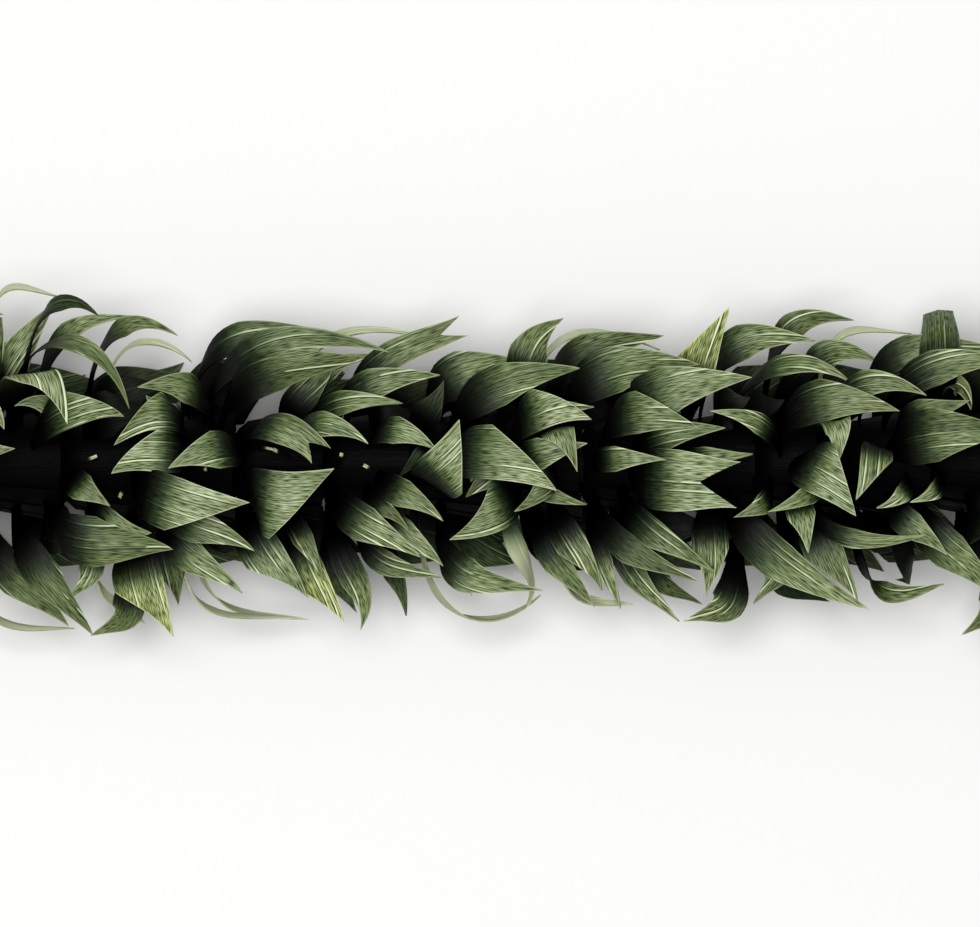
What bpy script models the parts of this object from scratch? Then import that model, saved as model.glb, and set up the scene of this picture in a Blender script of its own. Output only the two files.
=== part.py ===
"""Leaf head lei: bunches of preserved ti-leaf pieces bound one after another round a cord.

The lei lies straight on a flat surface. +X runs along the cord, the way the leaves sweep, +Z is up,
and the origin is on the surface, under the middle of the lei. Sizes are in millimetres and turned to
metres where the meshes are made.
"""

import math
import random
from typing import NamedTuple

import bmesh
import bpy
from mathutils import Vector
from mathutils.bvhtree import BVHTree

MM = 0.001

# Driving dimensions: the cord, the bunches on it and the binding between them.
BUNCHES = 18
PITCH = 24.0
AXIS_HEIGHT = 24.0
CORD_RADIUS = 2.5
KNOT_RADIUS = 5.0
CORD_OVERHANG = 15.0
COLLAR_INNER = 2.8
COLLAR_NARROW = 10.8
COLLAR_WIDE = 15.7
TIGHTER = (1.0, 0.985, 0.97, 0.955, 0.94)
SAME_POINT = 0.001
FOLDED_FLAT = -0.9999
LASHING_OUTER = 6.2
LASHING_WIDTH = 2.4
CLEARANCE = 0.3
SIDES = 8
SOLVER = "MANIFOLD"

# Leaf blades: how deep a root sits, how thick a blade is, and how its width grows and ends.
ROOT_RADIUS = 6.0
BLADE_THICKNESS = 0.8
FLOOR_SNAP = 0.25
FLOOR_RISE = 0.5 * BLADE_THICKNESS - AXIS_HEIGHT
ROOT_WIDTH = 3.0
ROOT_SHARE = 0.08
FULL_WIDTH_AT = 0.42
TAPER_AT = 0.55
FORK_NARROWING = 0.25
USUAL_REACH = 0.36
TURNED_AT = 0.71
SHORT_CHORD = 8.0
SHORTEST = 14.0

# How many faces a blade has along it: few where it is nearly straight, more where it bends or turns.
STRAIGHT_LIFT = 23.0
BENT_LIFT = 35.0
TURNED_ROLL = 50.0

# Placing: the tries and the slack that a leaf has, how near the lashings a root may sit, and how far
# a leaf may reach past its root and tip.
SEED = 7
TRIES = 300
FIRST_SLACK = 0.2
RISE_SLACK = (-9.0, 7.0)
DIP_SLACK = 18.0
ROOT_SLACK = 5.0
CLOCK_SLACK = 14.0
PLAN_SLACK = 2.0
LIFT_SLACK = 0.25
ROLL_SLACK = 22.0
LASHING_MARGIN = 3.5
LEAF_BULGE = 20.0
SHELL_END = 0.985

# The stretch that the photo shows, how far its leaves are moved to carry it on, and where tips end.
TILE = 11 * PITCH
PHOTO_EDGE = 138.0
ROOT_EDGE = 134.0
END_REACH = 235.0
LAST_ROOT = 0.5 * BUNCHES * PITCH - 2.0
LEAVES_PER_BUNCH = 18
GOLDEN_ANGLE = 137.5
OPEN_ABOVE = 40.0


class Leaf(NamedTuple):
    """One leaf piece. Its root is `root` along the cord, facing `clock` degrees round it (0 up, 90 to
    +Y). Its tip is at x, y and `rise` above the cord, pointing `heading` degrees in plan and `dip`
    degrees down. `lift` is how straight out it starts and `reach` how straight it ends. `roll` turns
    the blade on edge, `skew` moves the tip to one edge (1 is the left), and `fork` is how far along the
    notch between two tips reaches."""

    root: float
    clock: float
    x: float
    y: float
    rise: float
    heading: float
    width: float
    lift: float = 26.0
    reach: float = 0.0
    roll: float = 0.0
    skew: float = 0.0
    fork: float = 0.0
    dip: float = 12.0


# The leaves seen from above on the middle stretch, left to right.
SEEN = (
    Leaf(109, 14, 144, 9, 32, -4, 15, 28),
    Leaf(107, 18, 100.8, -9.6, 31, 258, 9, 28, skew=-0.9),
    Leaf(-46, 50, -13.8, 24.8, 16, 0, 9, 24),
    Leaf(-12, 36, 24.8, 26.8, 24, 5, 12, 30),
    Leaf(-20, 46, 12, 28, 16, 12, 13, 26),
    Leaf(-34, 26, -14.5, 4, 25, -40, 8, 24),
    Leaf(-117, 35, -131.5, 16.2, 20, 205, 6, 20),
    Leaf(-68, -18, -43, -0.9, 32, 8, 19, 32, 18, skew=1),
    Leaf(-132, 45, -116.3, 11.2, 33, -90, 14, 36, 20, skew=1),
    Leaf(-126, 30, -99.5, 14.2, 30, -3, 11, 24, skew=-1),
    Leaf(-84, 28, -103.8, 5.5, 26, 212, 11, 30, 18, skew=0.8),
    Leaf(-81, 12, -104.6, -2.2, 29, 200, 12, 28, skew=0.8),
    Leaf(-68, 10, -88.8, -1, 32, 212, 11, 30),
    Leaf(-100, -14, -66.3, -10.3, 30, -14, 15, 30, skew=0.8),
    Leaf(-68, 25, -46.5, 2.5, 30, -52, 9, 30, fork=0.85),
    Leaf(-56, 25, -33.6, 5.9, 28, -42, 8),
    Leaf(-19, -16, -8.5, 12.5, 31, 50, 15, 27, skew=1),
    Leaf(-14, 8, 18.4, -7.2, 34, -18, 15, 30, skew=-1),
    Leaf(4, 26, 28.3, 12.7, 30, -6, 12, 26, skew=-0.9),
    Leaf(8, -18, -11.2, -20.7, 28, 184, 12, 28, skew=0.9),
    Leaf(18, -5, 6.6, -12.9, 29, 196, 7, skew=0.9),
    Leaf(28, 2, 48.5, 1.4, 35, -5, 7, 30),
    Leaf(38, -8, 68.5, -5.5, 32, -6, 17, 28, fork=0.75),
    Leaf(30, 30, 57.5, 10.3, 30, -6, 12, 28, skew=-0.6),
    Leaf(33, 32, 72.3, 24.2, 26, 3, 14, 32),
    Leaf(84, 6, 100.7, -14, 34, -36, 15, 30, skew=-0.8),
    Leaf(78, 32, 113, 14.8, 28, -10, 12, 30, skew=-0.5),
    Leaf(-134, 50, -99.5, 15.5, 24, -75, 8, 49, 27, roll=30),
    Leaf(-141, 65, -120.5, 45, 10, 50, 11, 14),
    Leaf(-132, 62, -108, 41.5, 16, -42, 7, 44, roll=30),
    Leaf(-141, 75, -118.5, 46, 6, -14, 4, 47, roll=62),
    Leaf(-156, 70, -134.5, 41.5, 12, -15, 9, 36),
    Leaf(-126, 70, -99, 41.3, 4, 4, 6, 36, roll=20),
    Leaf(-112, 62, -86.5, 35.8, 10, -34, 6, 40, roll=15),
    Leaf(-108, 70, -83, 28.5, 2, -45, 3.5, 38, roll=60),
    Leaf(-150, 40, -134, 9.8, 27, -75, 9, 30),
    Leaf(-156, 5, -131, 4.6, 28, 5, 10, 24),
    Leaf(-76, 40, -97.3, 21.5, 26, 190, 9, 30),
    Leaf(-84, 30, -95, 20, 22, 130, 9, 16),
    Leaf(-120, -10, -104.9, -11.3, 24, -35, 8, 22),
    Leaf(-124, -46, -87.5, -23.3, 22, -8, 14, 34, skew=-0.3),
    Leaf(-112, -30, -93.5, -19.2, 25, -14, 9, 26, skew=0.6),
    Leaf(-132, -60, -110, -47.3, 8, -55, 10),
    Leaf(-141, -65, -117, -45, 2, -50, 10, 28),
    Leaf(-148, -92, -115.5, -45.6, -6, -3, 4.5, 43, roll=55),
    Leaf(-110, -70, -117, -37.5, 4, 225, 7, 28),
    Leaf(-100, -80, -111, -47.4, -2, 205, 9, 42),
    Leaf(-112, -75, -96, -44.5, 2, -45, 4, 32, roll=60),
    Leaf(-98, -60, -87.7, -47.5, 14, -80, 14, 34, skew=0.8),
    Leaf(-90, -72, -86.5, -39, 2, -85, 9, 26),
    Leaf(-92, -35, -65, -23.8, 22, -38, 10),
    Leaf(-84, 78, -41, 35.8, 6, -6, 8, 36, 24),
    Leaf(-80, 55, -27.8, 31.2, 14, -20, 10, 32, 30),
    Leaf(-78, 35, -36.5, 28.3, 20, 10, 12, 30),
    Leaf(-58, 55, -43, 29, 8, 60, 9, 16),
    Leaf(-50, 60, -31, 31, 6, 5, 6, 24),
    Leaf(-50, 38, -24, 17, 24, -10, 7, 24),
    Leaf(-40, 58, -7, 38.4, 12, 24, 8, 28, fork=0.86),
    Leaf(-57, 80, -20, 35.5, 2, -12, 5, 37, roll=55),
    Leaf(-92, -55, -68.5, -35.5, 12, -45, 9),
    Leaf(-88, -85, -54, -42.5, -4, -3, 4.5, 41, 24, roll=55),
    Leaf(-84, -80, -50, -43.5, -10, -8, 4, 38, 22, roll=60),
    Leaf(-70, -52, -50.5, -36.7, 12, -68, 12, 24, skew=0.7),
    Leaf(-56, -50, -46, -32, 16, -72, 6, 18),
    Leaf(-56, -60, -40, -43.7, 10, -72, 12, skew=0.8),
    Leaf(-47, -75, -37, -41, 0, -60, 8, 28),
    Leaf(-46, -62, -36, -46, 6, -112, 8, 30),
    Leaf(-46, -28, -19.3, -25.4, 24, -38, 10),
    Leaf(-38, -58, -13.3, -31.2, 10, -15, 7, 30),
    Leaf(-30, -80, -23.3, -42, -4, -85, 6, 28),
    Leaf(-20, 45, -13, 24, 14, 75, 8, 14),
    Leaf(8, 54, 20.1, 41, 10, 28, 11, 32, 13),
    Leaf(3, 30, 27.5, 17.2, 26, 0, 8, 24),
    Leaf(17, 22, 24, -1.9, 31, -82, 9, 30, 14, skew=0.5),
    Leaf(5, 10, 27.6, 6.9, 24, 10, 9, 22),
    Leaf(-13, 12, -24, -3.5, 24, 215, 3.5, 22),
    Leaf(-32, -12, -12.8, -15.6, 27, -48, 8),
    Leaf(-34, -25, -22.4, -18.4, 20, -60, 5, 22),
    Leaf(-32, -38, -13, -28, 16, -52, 8, 24),
    Leaf(4, -5, -6.6, -9.2, 24, 225, 7, 24),
    Leaf(8, -12, 26.5, -10.2, 24, -10, 5, 24),
    Leaf(-16, -52, 14.5, -34.5, 14, -10, 10, 38, 22),
    Leaf(-14, -62, -5, -36.5, 6, -75, 5, 22),
    Leaf(4, -60, 10, -40, 0, -120, 6, roll=65),
    Leaf(-21, -85, 14, -36, -4, 40, 6, 40, 22, roll=60),
    Leaf(12, -58, 29, -39.4, 8, -55, 8, 24),
    Leaf(17, -42, 31, -34.8, 16, -78, 9, 24, skew=0.5),
    Leaf(16, -78, 40, -39, -2, -8, 5, 36, 16, roll=50),
    Leaf(10, 80, 47, 31.8, 2, -24, 4.5, 39, 18, roll=55),
    Leaf(14, 58, 48.3, 35.8, 14, 8, 10, 34),
    Leaf(18, 45, 57, 28.5, 20, -5, 13, 34),
    Leaf(39, 14, 65, 10.1, 26, 0, 8),
    Leaf(54, 62, 66.3, 43.8, 16, 70, 11, 20, skew=-0.6),
    Leaf(58, 62, 90, 34.2, 12, -8, 10, 38),
    Leaf(66, 50, 100.3, 22.2, 18, -42, 7, 36, roll=25),
    Leaf(82, 18, 60.8, 14.3, 30, 178, 6, 28),
    Leaf(52, 4, 72.5, 3, 25, 5, 6, 24),
    Leaf(28, -38, 57.5, -32, 20, -28, 8, 28, skew=0.5),
    Leaf(36, -32, 62, -30, 24, -42, 8, 28, skew=0.5),
    Leaf(60, -38, 59.8, -36, 18, -102, 10, 28),
    Leaf(69, -72, 54, -43.3, 2, 200, 10, 42),
    Leaf(64, -32, 105, -40, 12, -30, 11, 28, skew=0.5),
    Leaf(78, -20, 67.2, -14.5, 26, 200, 6),
    Leaf(82, -66, 73, -38.5, 6, 230, 7, 30),
    Leaf(76, -75, 94.5, -38, 0, -20, 6, 34),
    Leaf(28, -68, 36.3, -40, 4, -72, 6, 22),
    Leaf(34, -66, 52.5, -43.4, 2, -45, 7),
    Leaf(43, -75, 59, -38.8, -4, -30, 6, 32),
    Leaf(76, 70, 101, 40, 8, -10, 8, 37),
    Leaf(84, 62, 108.3, 28.4, 6, -28, 8, 34),
    Leaf(92, 42, 120.6, 19.2, 24, -30, 8, 32),
    Leaf(102, 64, 142, 32, 12, -6, 10, 32, 22),
    Leaf(108, 50, 146, 29, 18, -4, 10, 32),
    Leaf(124, 50, 124, 42.6, 4, 90, 11, 32, 14, fork=0.97, dip=65),
    Leaf(90, 80, 117, 36.3, 2, -8, 4, 39, roll=60),
    Leaf(112, 32, 132.5, 17.9, 24, 20, 8, 24),
    Leaf(124, 45, 133, 16, 22, -85, 6, 36),
    Leaf(92, 22, 95.5, -1.5, 30, -97, 9, 34, 16, skew=-0.5),
    Leaf(92, -8, 76.3, -12.8, 30, 198, 6),
    Leaf(84, -22, 87.7, -24.3, 26, -88, 8, 28),
    Leaf(88, -42, 101.8, -37.5, 14, -75, 11, 24, skew=0.7),
    Leaf(88, -38, 120.3, -18.8, 24, 14, 5.5, 34),
    Leaf(100, -66, 126, -33, 6, 15, 7, 40, roll=20),
    Leaf(112, -50, 112.5, -31.8, 0, 175, 6, 34),
    Leaf(116, -12, 106.7, -11.9, 24, 196, 5, 24),
    Leaf(125, -12, 115.9, -10.3, 25, 196, 5, 24),
    Leaf(110, -30, 126.3, -25.2, 22, -50, 8, 24),
    Leaf(117, -35, 141, -38, 20, -58, 11),
    Leaf(140, -68, 130.8, -47.2, 4, 215, 9, 40),
    Leaf(17, 62, 36, 13, 12, -10, 12, 15),
    Leaf(42, -75, 60, -19, 6, -10, 12, 15),
    Leaf(92, -75, 109, -16, 6, -5, 12, 15),
    Leaf(88, 68, 105, 14, 8, -10, 11, 15),
)


def smooth(value):
    """An eased step from 0 to 1."""
    value = min(1.0, max(0.0, value))
    return value * value * (3.0 - 2.0 * value)


def outwards(clock):
    """The way out from the cord at a clock angle."""
    turn = math.radians(clock)
    return Vector((0.0, math.sin(turn), math.cos(turn)))


class Blade:
    """The curved ribbon of one leaf: its centre line, its crosswise direction and its two edges."""

    def __init__(self, leaf):
        self.leaf = leaf
        out = outwards(leaf.clock)
        heading = math.radians(leaf.heading)
        dip = math.radians(leaf.dip)
        ahead = Vector((math.cos(heading) * math.cos(dip), math.sin(heading) * math.cos(dip), -math.sin(dip)))
        start = Vector((leaf.root, 0.0, AXIS_HEIGHT)) + out * ROOT_RADIUS
        tip = Vector((leaf.x, leaf.y, AXIS_HEIGHT + leaf.rise))
        reach = leaf.reach or USUAL_REACH * (tip - start).length
        flat = Vector((-math.sin(heading), math.cos(heading), 0.0))
        roll = math.radians(leaf.roll)
        self.end_across = flat * math.cos(roll) + flat.cross(ahead) * math.sin(roll)
        self.stations = 5 if leaf.lift > BENT_LIFT or leaf.roll > TURNED_ROLL else 4
        if leaf.lift < STRAIGHT_LIFT:
            self.stations = 3
        across = out.cross(tip - start)
        if across.length < SHORT_CHORD:
            across = Vector((1.0, 0.0, 0.0))
        if across.dot(self.end_across) < 0.0:
            across.negate()
        self.start_across = across.normalized()
        tip = tip - self.end_across * (leaf.skew * 0.5 * leaf.width)
        self.points = (start, start + out * leaf.lift, tip - ahead * reach, tip)

    def at(self, along):
        """The point on the centre line, the direction there and the direction across the blade."""
        a, b, c, d = self.points
        rest = 1.0 - along
        place = a * rest**3 + b * (3 * rest**2 * along) + c * (3 * rest * along**2) + d * along**3
        ahead = (b - a) * rest**2 + (c - b) * (2 * rest * along) + (d - c) * along**2
        ahead.normalize()
        across = self.start_across.lerp(self.end_across, smooth(along / TURNED_AT))
        across = across - ahead * across.dot(ahead)
        return place, ahead, across.normalized()

    def taper(self, along):
        """1 along the strap, and falling straight to 0 at a pointed tip."""
        if self.leaf.fork:
            return 1.0 - FORK_NARROWING * smooth((along - TAPER_AT) / (1.0 - TAPER_AT))
        return min(1.0, (1.0 - along) / (1.0 - TAPER_AT))

    def half_width(self, along):
        """Narrow at the root and full before the middle."""
        grown = smooth((along - 0.5 * ROOT_SHARE) / (FULL_WIDTH_AT - 0.5 * ROOT_SHARE))
        return 0.5 * (ROOT_WIDTH + (self.leaf.width - ROOT_WIDTH) * grown) * self.taper(along)

    def edge(self, along, side, low):
        """A point on the blade at side -1 (right) to 1 (left), kept `low` above the surface."""
        place, ahead, across = self.at(along)
        sideways = side * self.half_width(along)
        sideways += self.leaf.skew * 0.5 * self.leaf.width * (1.0 - self.taper(along))
        place = place + across * sideways
        place.z = max(place.z, low)
        return place, ahead.cross(across)


def test_shell(blade, start):
    """A thicker copy of the blade from `start` along it on, for finding what it would touch."""
    half = 0.5 * BLADE_THICKNESS + 0.5 * CLEARANCE
    sides = (1.0, 0.0, -1.0) if blade.leaf.fork else (1.0, -1.0)
    points = []
    for station in range(blade.stations + 1):
        along = min(SHELL_END, max(start, station / blade.stations))
        for side in sides:
            place, normal = blade.edge(along, side, 0.5 * BLADE_THICKNESS)
            points.append(place + normal * half)
            points.append(place - normal * half)
    row = 2 * len(sides)
    faces = [(0, 1, row - 1, row - 2)]
    for base in range(0, len(points) - row, row):
        for low in (0, 1):
            for left in range(base + low, base + row - 2, 2):
                right = left + 2
                faces.append((left, right, right + row))
                faces.append((left, right + row, left + row))
        for top in (base, base + row - 2):
            faces.append((top, top + 1, top + 1 + row, top + row))
    return BVHTree.FromPolygons(points, faces)


def round_shell(start, end, start_radius, end_radius):
    """A many-sided tapered rod along the cord, for finding what would touch it."""
    points = []
    for x, radius in ((start - CLEARANCE, start_radius), (end + CLEARANCE, end_radius)):
        for side in range(SIDES):
            place = outwards(360.0 * side / SIDES) * (radius + CLEARANCE)
            points.append(Vector((x, place.y, place.z + AXIS_HEIGHT)))
    faces = [(i, (i + 1) % SIDES, (i + 1) % SIDES + SIDES, i + SIDES) for i in range(SIDES)]
    faces.append(tuple(range(SIDES)))
    faces.append(tuple(range(SIDES, 2 * SIDES)))
    return BVHTree.FromPolygons(points, faces)


def bunch_of(x):
    """The bunch whose collar holds a root at x."""
    return min(BUNCHES - 1, max(0, int(x / PITCH + 0.5 * BUNCHES)))


def collar_middle(bunch):
    return (bunch + 0.5 - 0.5 * BUNCHES) * PITCH


def collar_ends(bunch):
    """Where a bunch's bound butts start and end along the cord, between two lashings."""
    half = 0.5 * (PITCH - LASHING_WIDTH) - CLEARANCE
    return collar_middle(bunch) - half, collar_middle(bunch) + half


class Placer:
    """Places leaves one by one, each bent a little where it would touch one placed before."""

    def __init__(self):
        self.draw = random.Random(SEED)
        reach = 0.5 * BUNCHES * PITCH + CORD_OVERHANG
        self.cord = round_shell(-reach, reach, LASHING_OUTER, LASHING_OUTER)
        self.collars = [
            round_shell(*collar_ends(bunch), COLLAR_NARROW, COLLAR_WIDE) for bunch in range(BUNCHES)
        ]
        self.placed = []

    def clear(self, blade, bunch, near):
        if (blade.points[3] - blade.points[0]).length < SHORTEST:
            return False
        whole = test_shell(blade, 0.0)
        outer = test_shell(blade, ROOT_SHARE)
        if self.cord.overlap(outer):
            return False
        for other in range(max(0, bunch - 2), min(BUNCHES, bunch + 3)):
            if other != bunch and self.collars[other].overlap(whole):
                return False
        for other_bunch, other_whole, other_outer, _ in near:
            if other_bunch == bunch:
                if outer.overlap(other_outer):
                    return False
            elif whole.overlap(other_whole):
                return False
        return True

    def changed(self, leaf, slack):
        """The leaf with its height, start and tilt moved by up to `slack`, and its plan a little."""
        draw = self.draw.uniform
        if leaf.rise > FLOOR_RISE:
            rise = max(FLOOR_RISE, leaf.rise + draw(*RISE_SLACK) * slack)
            leaf = leaf._replace(rise=rise, dip=leaf.dip + draw(-DIP_SLACK, DIP_SLACK) * slack)
        return leaf._replace(
            root=leaf.root + draw(-ROOT_SLACK, ROOT_SLACK) * slack,
            clock=leaf.clock + draw(-CLOCK_SLACK, CLOCK_SLACK) * slack,
            x=leaf.x + draw(-PLAN_SLACK, PLAN_SLACK) * slack,
            y=leaf.y + draw(-PLAN_SLACK, PLAN_SLACK) * slack,
            lift=leaf.lift * (1.0 + draw(-LIFT_SLACK, LIFT_SLACK) * slack),
            roll=leaf.roll + draw(-ROLL_SLACK, ROLL_SLACK) * slack,
        )

    def place(self, leaf):
        """Keeps the leaf where it is clear of all placed before, or leaves it out after the last try."""
        bunch = bunch_of(leaf.root)
        middle = collar_middle(bunch)
        hold = 0.5 * PITCH - LASHING_MARGIN
        low = min(leaf.root, leaf.x) - LEAF_BULGE
        high = max(leaf.root, leaf.x) + LEAF_BULGE
        near = [entry for entry in self.placed if entry[3].near(low, high)]
        for attempt in range(TRIES):
            trial = leaf if attempt == 0 else self.changed(leaf, FIRST_SLACK + attempt / TRIES)
            root = min(middle + hold, max(middle - hold, trial.root))
            trial = trial._replace(root=root, x=min(END_REACH, trial.x))
            blade = Blade(trial)
            if self.clear(blade, bunch, near):
                shells = test_shell(blade, 0.0), test_shell(blade, ROOT_SHARE)
                self.placed.append((bunch, *shells, Placed(trial)))
                return


class Placed(NamedTuple):
    """A leaf that has its place, with the stretch of the lei that it may reach."""

    leaf: Leaf

    def near(self, low, high):
        first = min(self.leaf.root, self.leaf.x) - LEAF_BULGE
        last = max(self.leaf.root, self.leaf.x) + LEAF_BULGE
        return first < high and last > low


def floor_leaves(bunch, draw):
    """Two leaves of a bunch spread flat on the surface, one to either side: the lei lies on these."""
    middle = collar_middle(bunch)
    for side in (-1.0, 1.0):
        yield Leaf(
            root=middle + draw(-6, 6),
            clock=side * draw(138, 148),
            x=middle + draw(18, 28),
            y=side * draw(22, 30),
            rise=FLOOR_RISE,
            heading=side * draw(15, 45),
            width=draw(13, 17),
            lift=draw(20, 22.5),
            dip=-10.0,
        )


def low_leaves(bunch, draw):
    """Two wide leaves of a bunch low at its sides, which close it from below."""
    middle = collar_middle(bunch)
    for side in (-1.0, 1.0):
        yield Leaf(
            root=middle + draw(-8, 8),
            clock=side * draw(108, 126),
            x=middle + draw(18, 32),
            y=side * draw(21, 28),
            rise=draw(-17, -11),
            heading=side * draw(0, 30),
            width=draw(19, 23),
            lift=draw(11, 15),
            dip=8.0,
        )


def inner_leaf(bunch, number, draw):
    """A shorter leaf that fills the bunch from inside, at the next golden-angle turn round the cord."""
    middle = collar_middle(bunch)
    clock = OPEN_ABOVE + (number * GOLDEN_ANGLE + 40.0 * bunch) % (360.0 - 2.0 * OPEN_ABOVE)
    spread = draw(19, 26)
    out = outwards(clock)
    up = 26.0 if out.z > 0.0 else 20.0
    return Leaf(
        root=middle + draw(-8, 8),
        clock=clock,
        x=middle + draw(10, 26),
        y=out.y * spread,
        rise=out.z * up * draw(0.7, 0.95),
        heading=draw(-25, 25) + 25.0 * out.y,
        width=draw(12, 16),
        lift=draw(14, 22),
    )


def lay_out():
    """All leaves in their places, as (bunch, leaf)."""
    placer = Placer()
    for bunch in range(BUNCHES):
        for leaf in floor_leaves(bunch, placer.draw.uniform):
            placer.place(leaf)
    for bunch in range(BUNCHES):
        for leaf in low_leaves(bunch, placer.draw.uniform):
            placer.place(leaf)
    for leaf in SEEN:
        placer.place(leaf)
    for shift in (-TILE, TILE):
        for leaf in SEEN:
            copy = leaf._replace(root=leaf.root + shift, x=leaf.x + shift)
            if ROOT_EDGE < abs(copy.root) < LAST_ROOT and abs(copy.x) > PHOTO_EDGE:
                placer.place(copy)
    for bunch in range(BUNCHES):
        for number in range(LEAVES_PER_BUNCH):
            if sum(entry[0] == bunch for entry in placer.placed) < LEAVES_PER_BUNCH:
                placer.place(inner_leaf(bunch, number, placer.draw.uniform))
    return [(entry[0], entry[3].leaf) for entry in placer.placed]


def material(name, colour, roughness):
    made = bpy.data.materials.new(name)
    made.use_nodes = True
    shader = made.node_tree.nodes["Principled BSDF"]
    shader.inputs["Base Color"].default_value = (*colour, 1.0)
    shader.inputs["Roughness"].default_value = roughness
    shader.inputs["Metallic"].default_value = 0.0
    return made


def object_from(name, mesh_builder, finish, collection):
    """A new object whose mesh is the bmesh, in metres."""
    for vertex in mesh_builder.verts:
        vertex.co *= MM
    mesh = bpy.data.meshes.new(name)
    mesh_builder.to_mesh(mesh)
    mesh_builder.free()
    mesh.materials.append(finish)
    made = bpy.data.objects.new(name, mesh)
    collection.objects.link(made)
    return made


def leaf_object(leaf, name, finish, collection):
    """A grid strip bent along the leaf's centre line, its end drawn to a point, and given a thickness."""
    blade = Blade(leaf)
    columns = 2 if leaf.fork else 1
    strip = bmesh.new()
    bmesh.ops.create_grid(strip, x_segments=columns, y_segments=blade.stations, size=1.0)
    for vertex in strip.verts:
        side = -vertex.co.x
        along = 0.5 * (vertex.co.y + 1.0)
        at_notch = along > 0.99 and abs(side) < 0.5
        if leaf.fork and at_notch:
            along = leaf.fork
        vertex.co, _ = blade.edge(along, side, 0.5 * BLADE_THICKNESS)
    bmesh.ops.remove_doubles(strip, verts=strip.verts, dist=0.01)
    bmesh.ops.triangulate(strip, faces=strip.faces, quad_method="FIXED")
    made = object_from(name, strip, finish, collection)
    thick = made.modifiers.new("blade_thickness", "SOLIDIFY")
    thick.thickness = BLADE_THICKNESS * MM
    thick.offset = 0.0
    return made


def tube(name, start, end, start_radius, end_radius, finish, collection):
    """A short tapered tube along the cord: four rings of points with a band of faces between them."""
    wall = bmesh.new()
    corners = (start, start_radius), (end, end_radius), (end, COLLAR_INNER), (start, COLLAR_INNER)
    rings = []
    for x, radius in corners:
        places = [outwards(360.0 * side / SIDES) * radius for side in range(SIDES)]
        rings.append([wall.verts.new((x, place.y, place.z + AXIS_HEIGHT)) for place in places])
    for ring, following in zip(rings, rings[1:] + rings[:1]):
        for side in range(SIDES):
            after = (side + 1) % SIDES
            wall.faces.new((ring[side], ring[after], following[after], following[side]))
    bmesh.ops.recalc_face_normals(wall, faces=wall.faces)
    return object_from(name, wall, finish, collection)


def bake(made, snap=0.0):
    """The object's mesh with its modifiers applied, what is nearer the surface than `snap` laid on it."""
    graph = bpy.context.evaluated_depsgraph_get()
    graph.update()
    mesh = bpy.data.meshes.new_from_object(made.evaluated_get(graph))
    for vertex in mesh.vertices:
        if vertex.co.z < snap:
            vertex.co.z = 0.0
    old = made.data
    made.modifiers.clear()
    made.data = mesh
    bpy.data.meshes.remove(old)
    mesh.name = made.name


def volume(faces):
    total = 0.0
    for face in faces:
        corners = [corner.vert.co for corner in face.loops]
        for second, third in zip(corners[1:], corners[2:]):
            total += corners[0].dot(second.cross(third))
    return total / 6.0


def keep_one_body(made):
    """Drops loose scraps and the inner skins of hollows that the union sealed."""
    builder = bmesh.new()
    builder.from_mesh(made.data)
    bmesh.ops.triangulate(builder, faces=builder.faces)
    waiting = set(builder.faces)
    bodies = []
    while waiting:
        body = {waiting.pop()}
        edge_of_body = list(body)
        while edge_of_body:
            face = edge_of_body.pop()
            for edge in face.edges:
                if len(edge.link_faces) > 2:
                    continue
                for other in edge.link_faces:
                    if other in waiting:
                        waiting.remove(other)
                        body.add(other)
                        edge_of_body.append(other)
        bodies.append(body)
    bodies.sort(key=volume)
    for scrap in bodies[:-1]:
        bmesh.ops.delete(builder, geom=list(scrap), context="FACES")
    builder.to_mesh(made.data)
    builder.free()


def is_sound(made):
    """Whether each edge joins just two faces, not folded flat on each other, once the points that
    coincide are made one."""
    builder = bmesh.new()
    builder.from_mesh(made.data)
    bmesh.ops.remove_doubles(builder, verts=builder.verts, dist=SAME_POINT * MM)
    builder.normal_update()
    sound = True
    for edge in builder.edges:
        faces = edge.link_faces
        if len(faces) != 2 or faces[0].normal.dot(faces[1].normal) < FOLDED_FLAT:
            sound = False
    builder.free()
    return sound


def bunch_object(bunch, leaves, finish, collection):
    """A bunch: the bound butts round the cord with the leaves that grow out of them, in one body. Where
    the union would touch itself, the butts are bound a little tighter."""
    name = f"leaf_bunch_{bunch + 1:02d}"
    helpers = bpy.data.collections.new(f"{name}_leaves")
    bpy.context.scene.collection.children.link(helpers)
    helpers.hide_render = True
    for number, leaf in enumerate(leaves):
        helper = leaf_object(leaf, f"{name}_{number + 1:02d}", finish, helpers)
        bake(helper, FLOOR_SNAP * MM)
    for share in TIGHTER:
        made = tube(
            name, *collar_ends(bunch), share * COLLAR_NARROW, share * COLLAR_WIDE, finish, collection
        )
        union = made.modifiers.new("leaves", "BOOLEAN")
        union.operation = "UNION"
        union.operand_type = "COLLECTION"
        union.collection = helpers
        union.solver = SOLVER
        bake(made)
        keep_one_body(made)
        if share == TIGHTER[-1] or is_sound(made):
            break
        bpy.data.meshes.remove(made.data)
    for helper in list(helpers.objects):
        bpy.data.objects.remove(helper)
    bpy.data.collections.remove(helpers)
    return made


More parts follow.
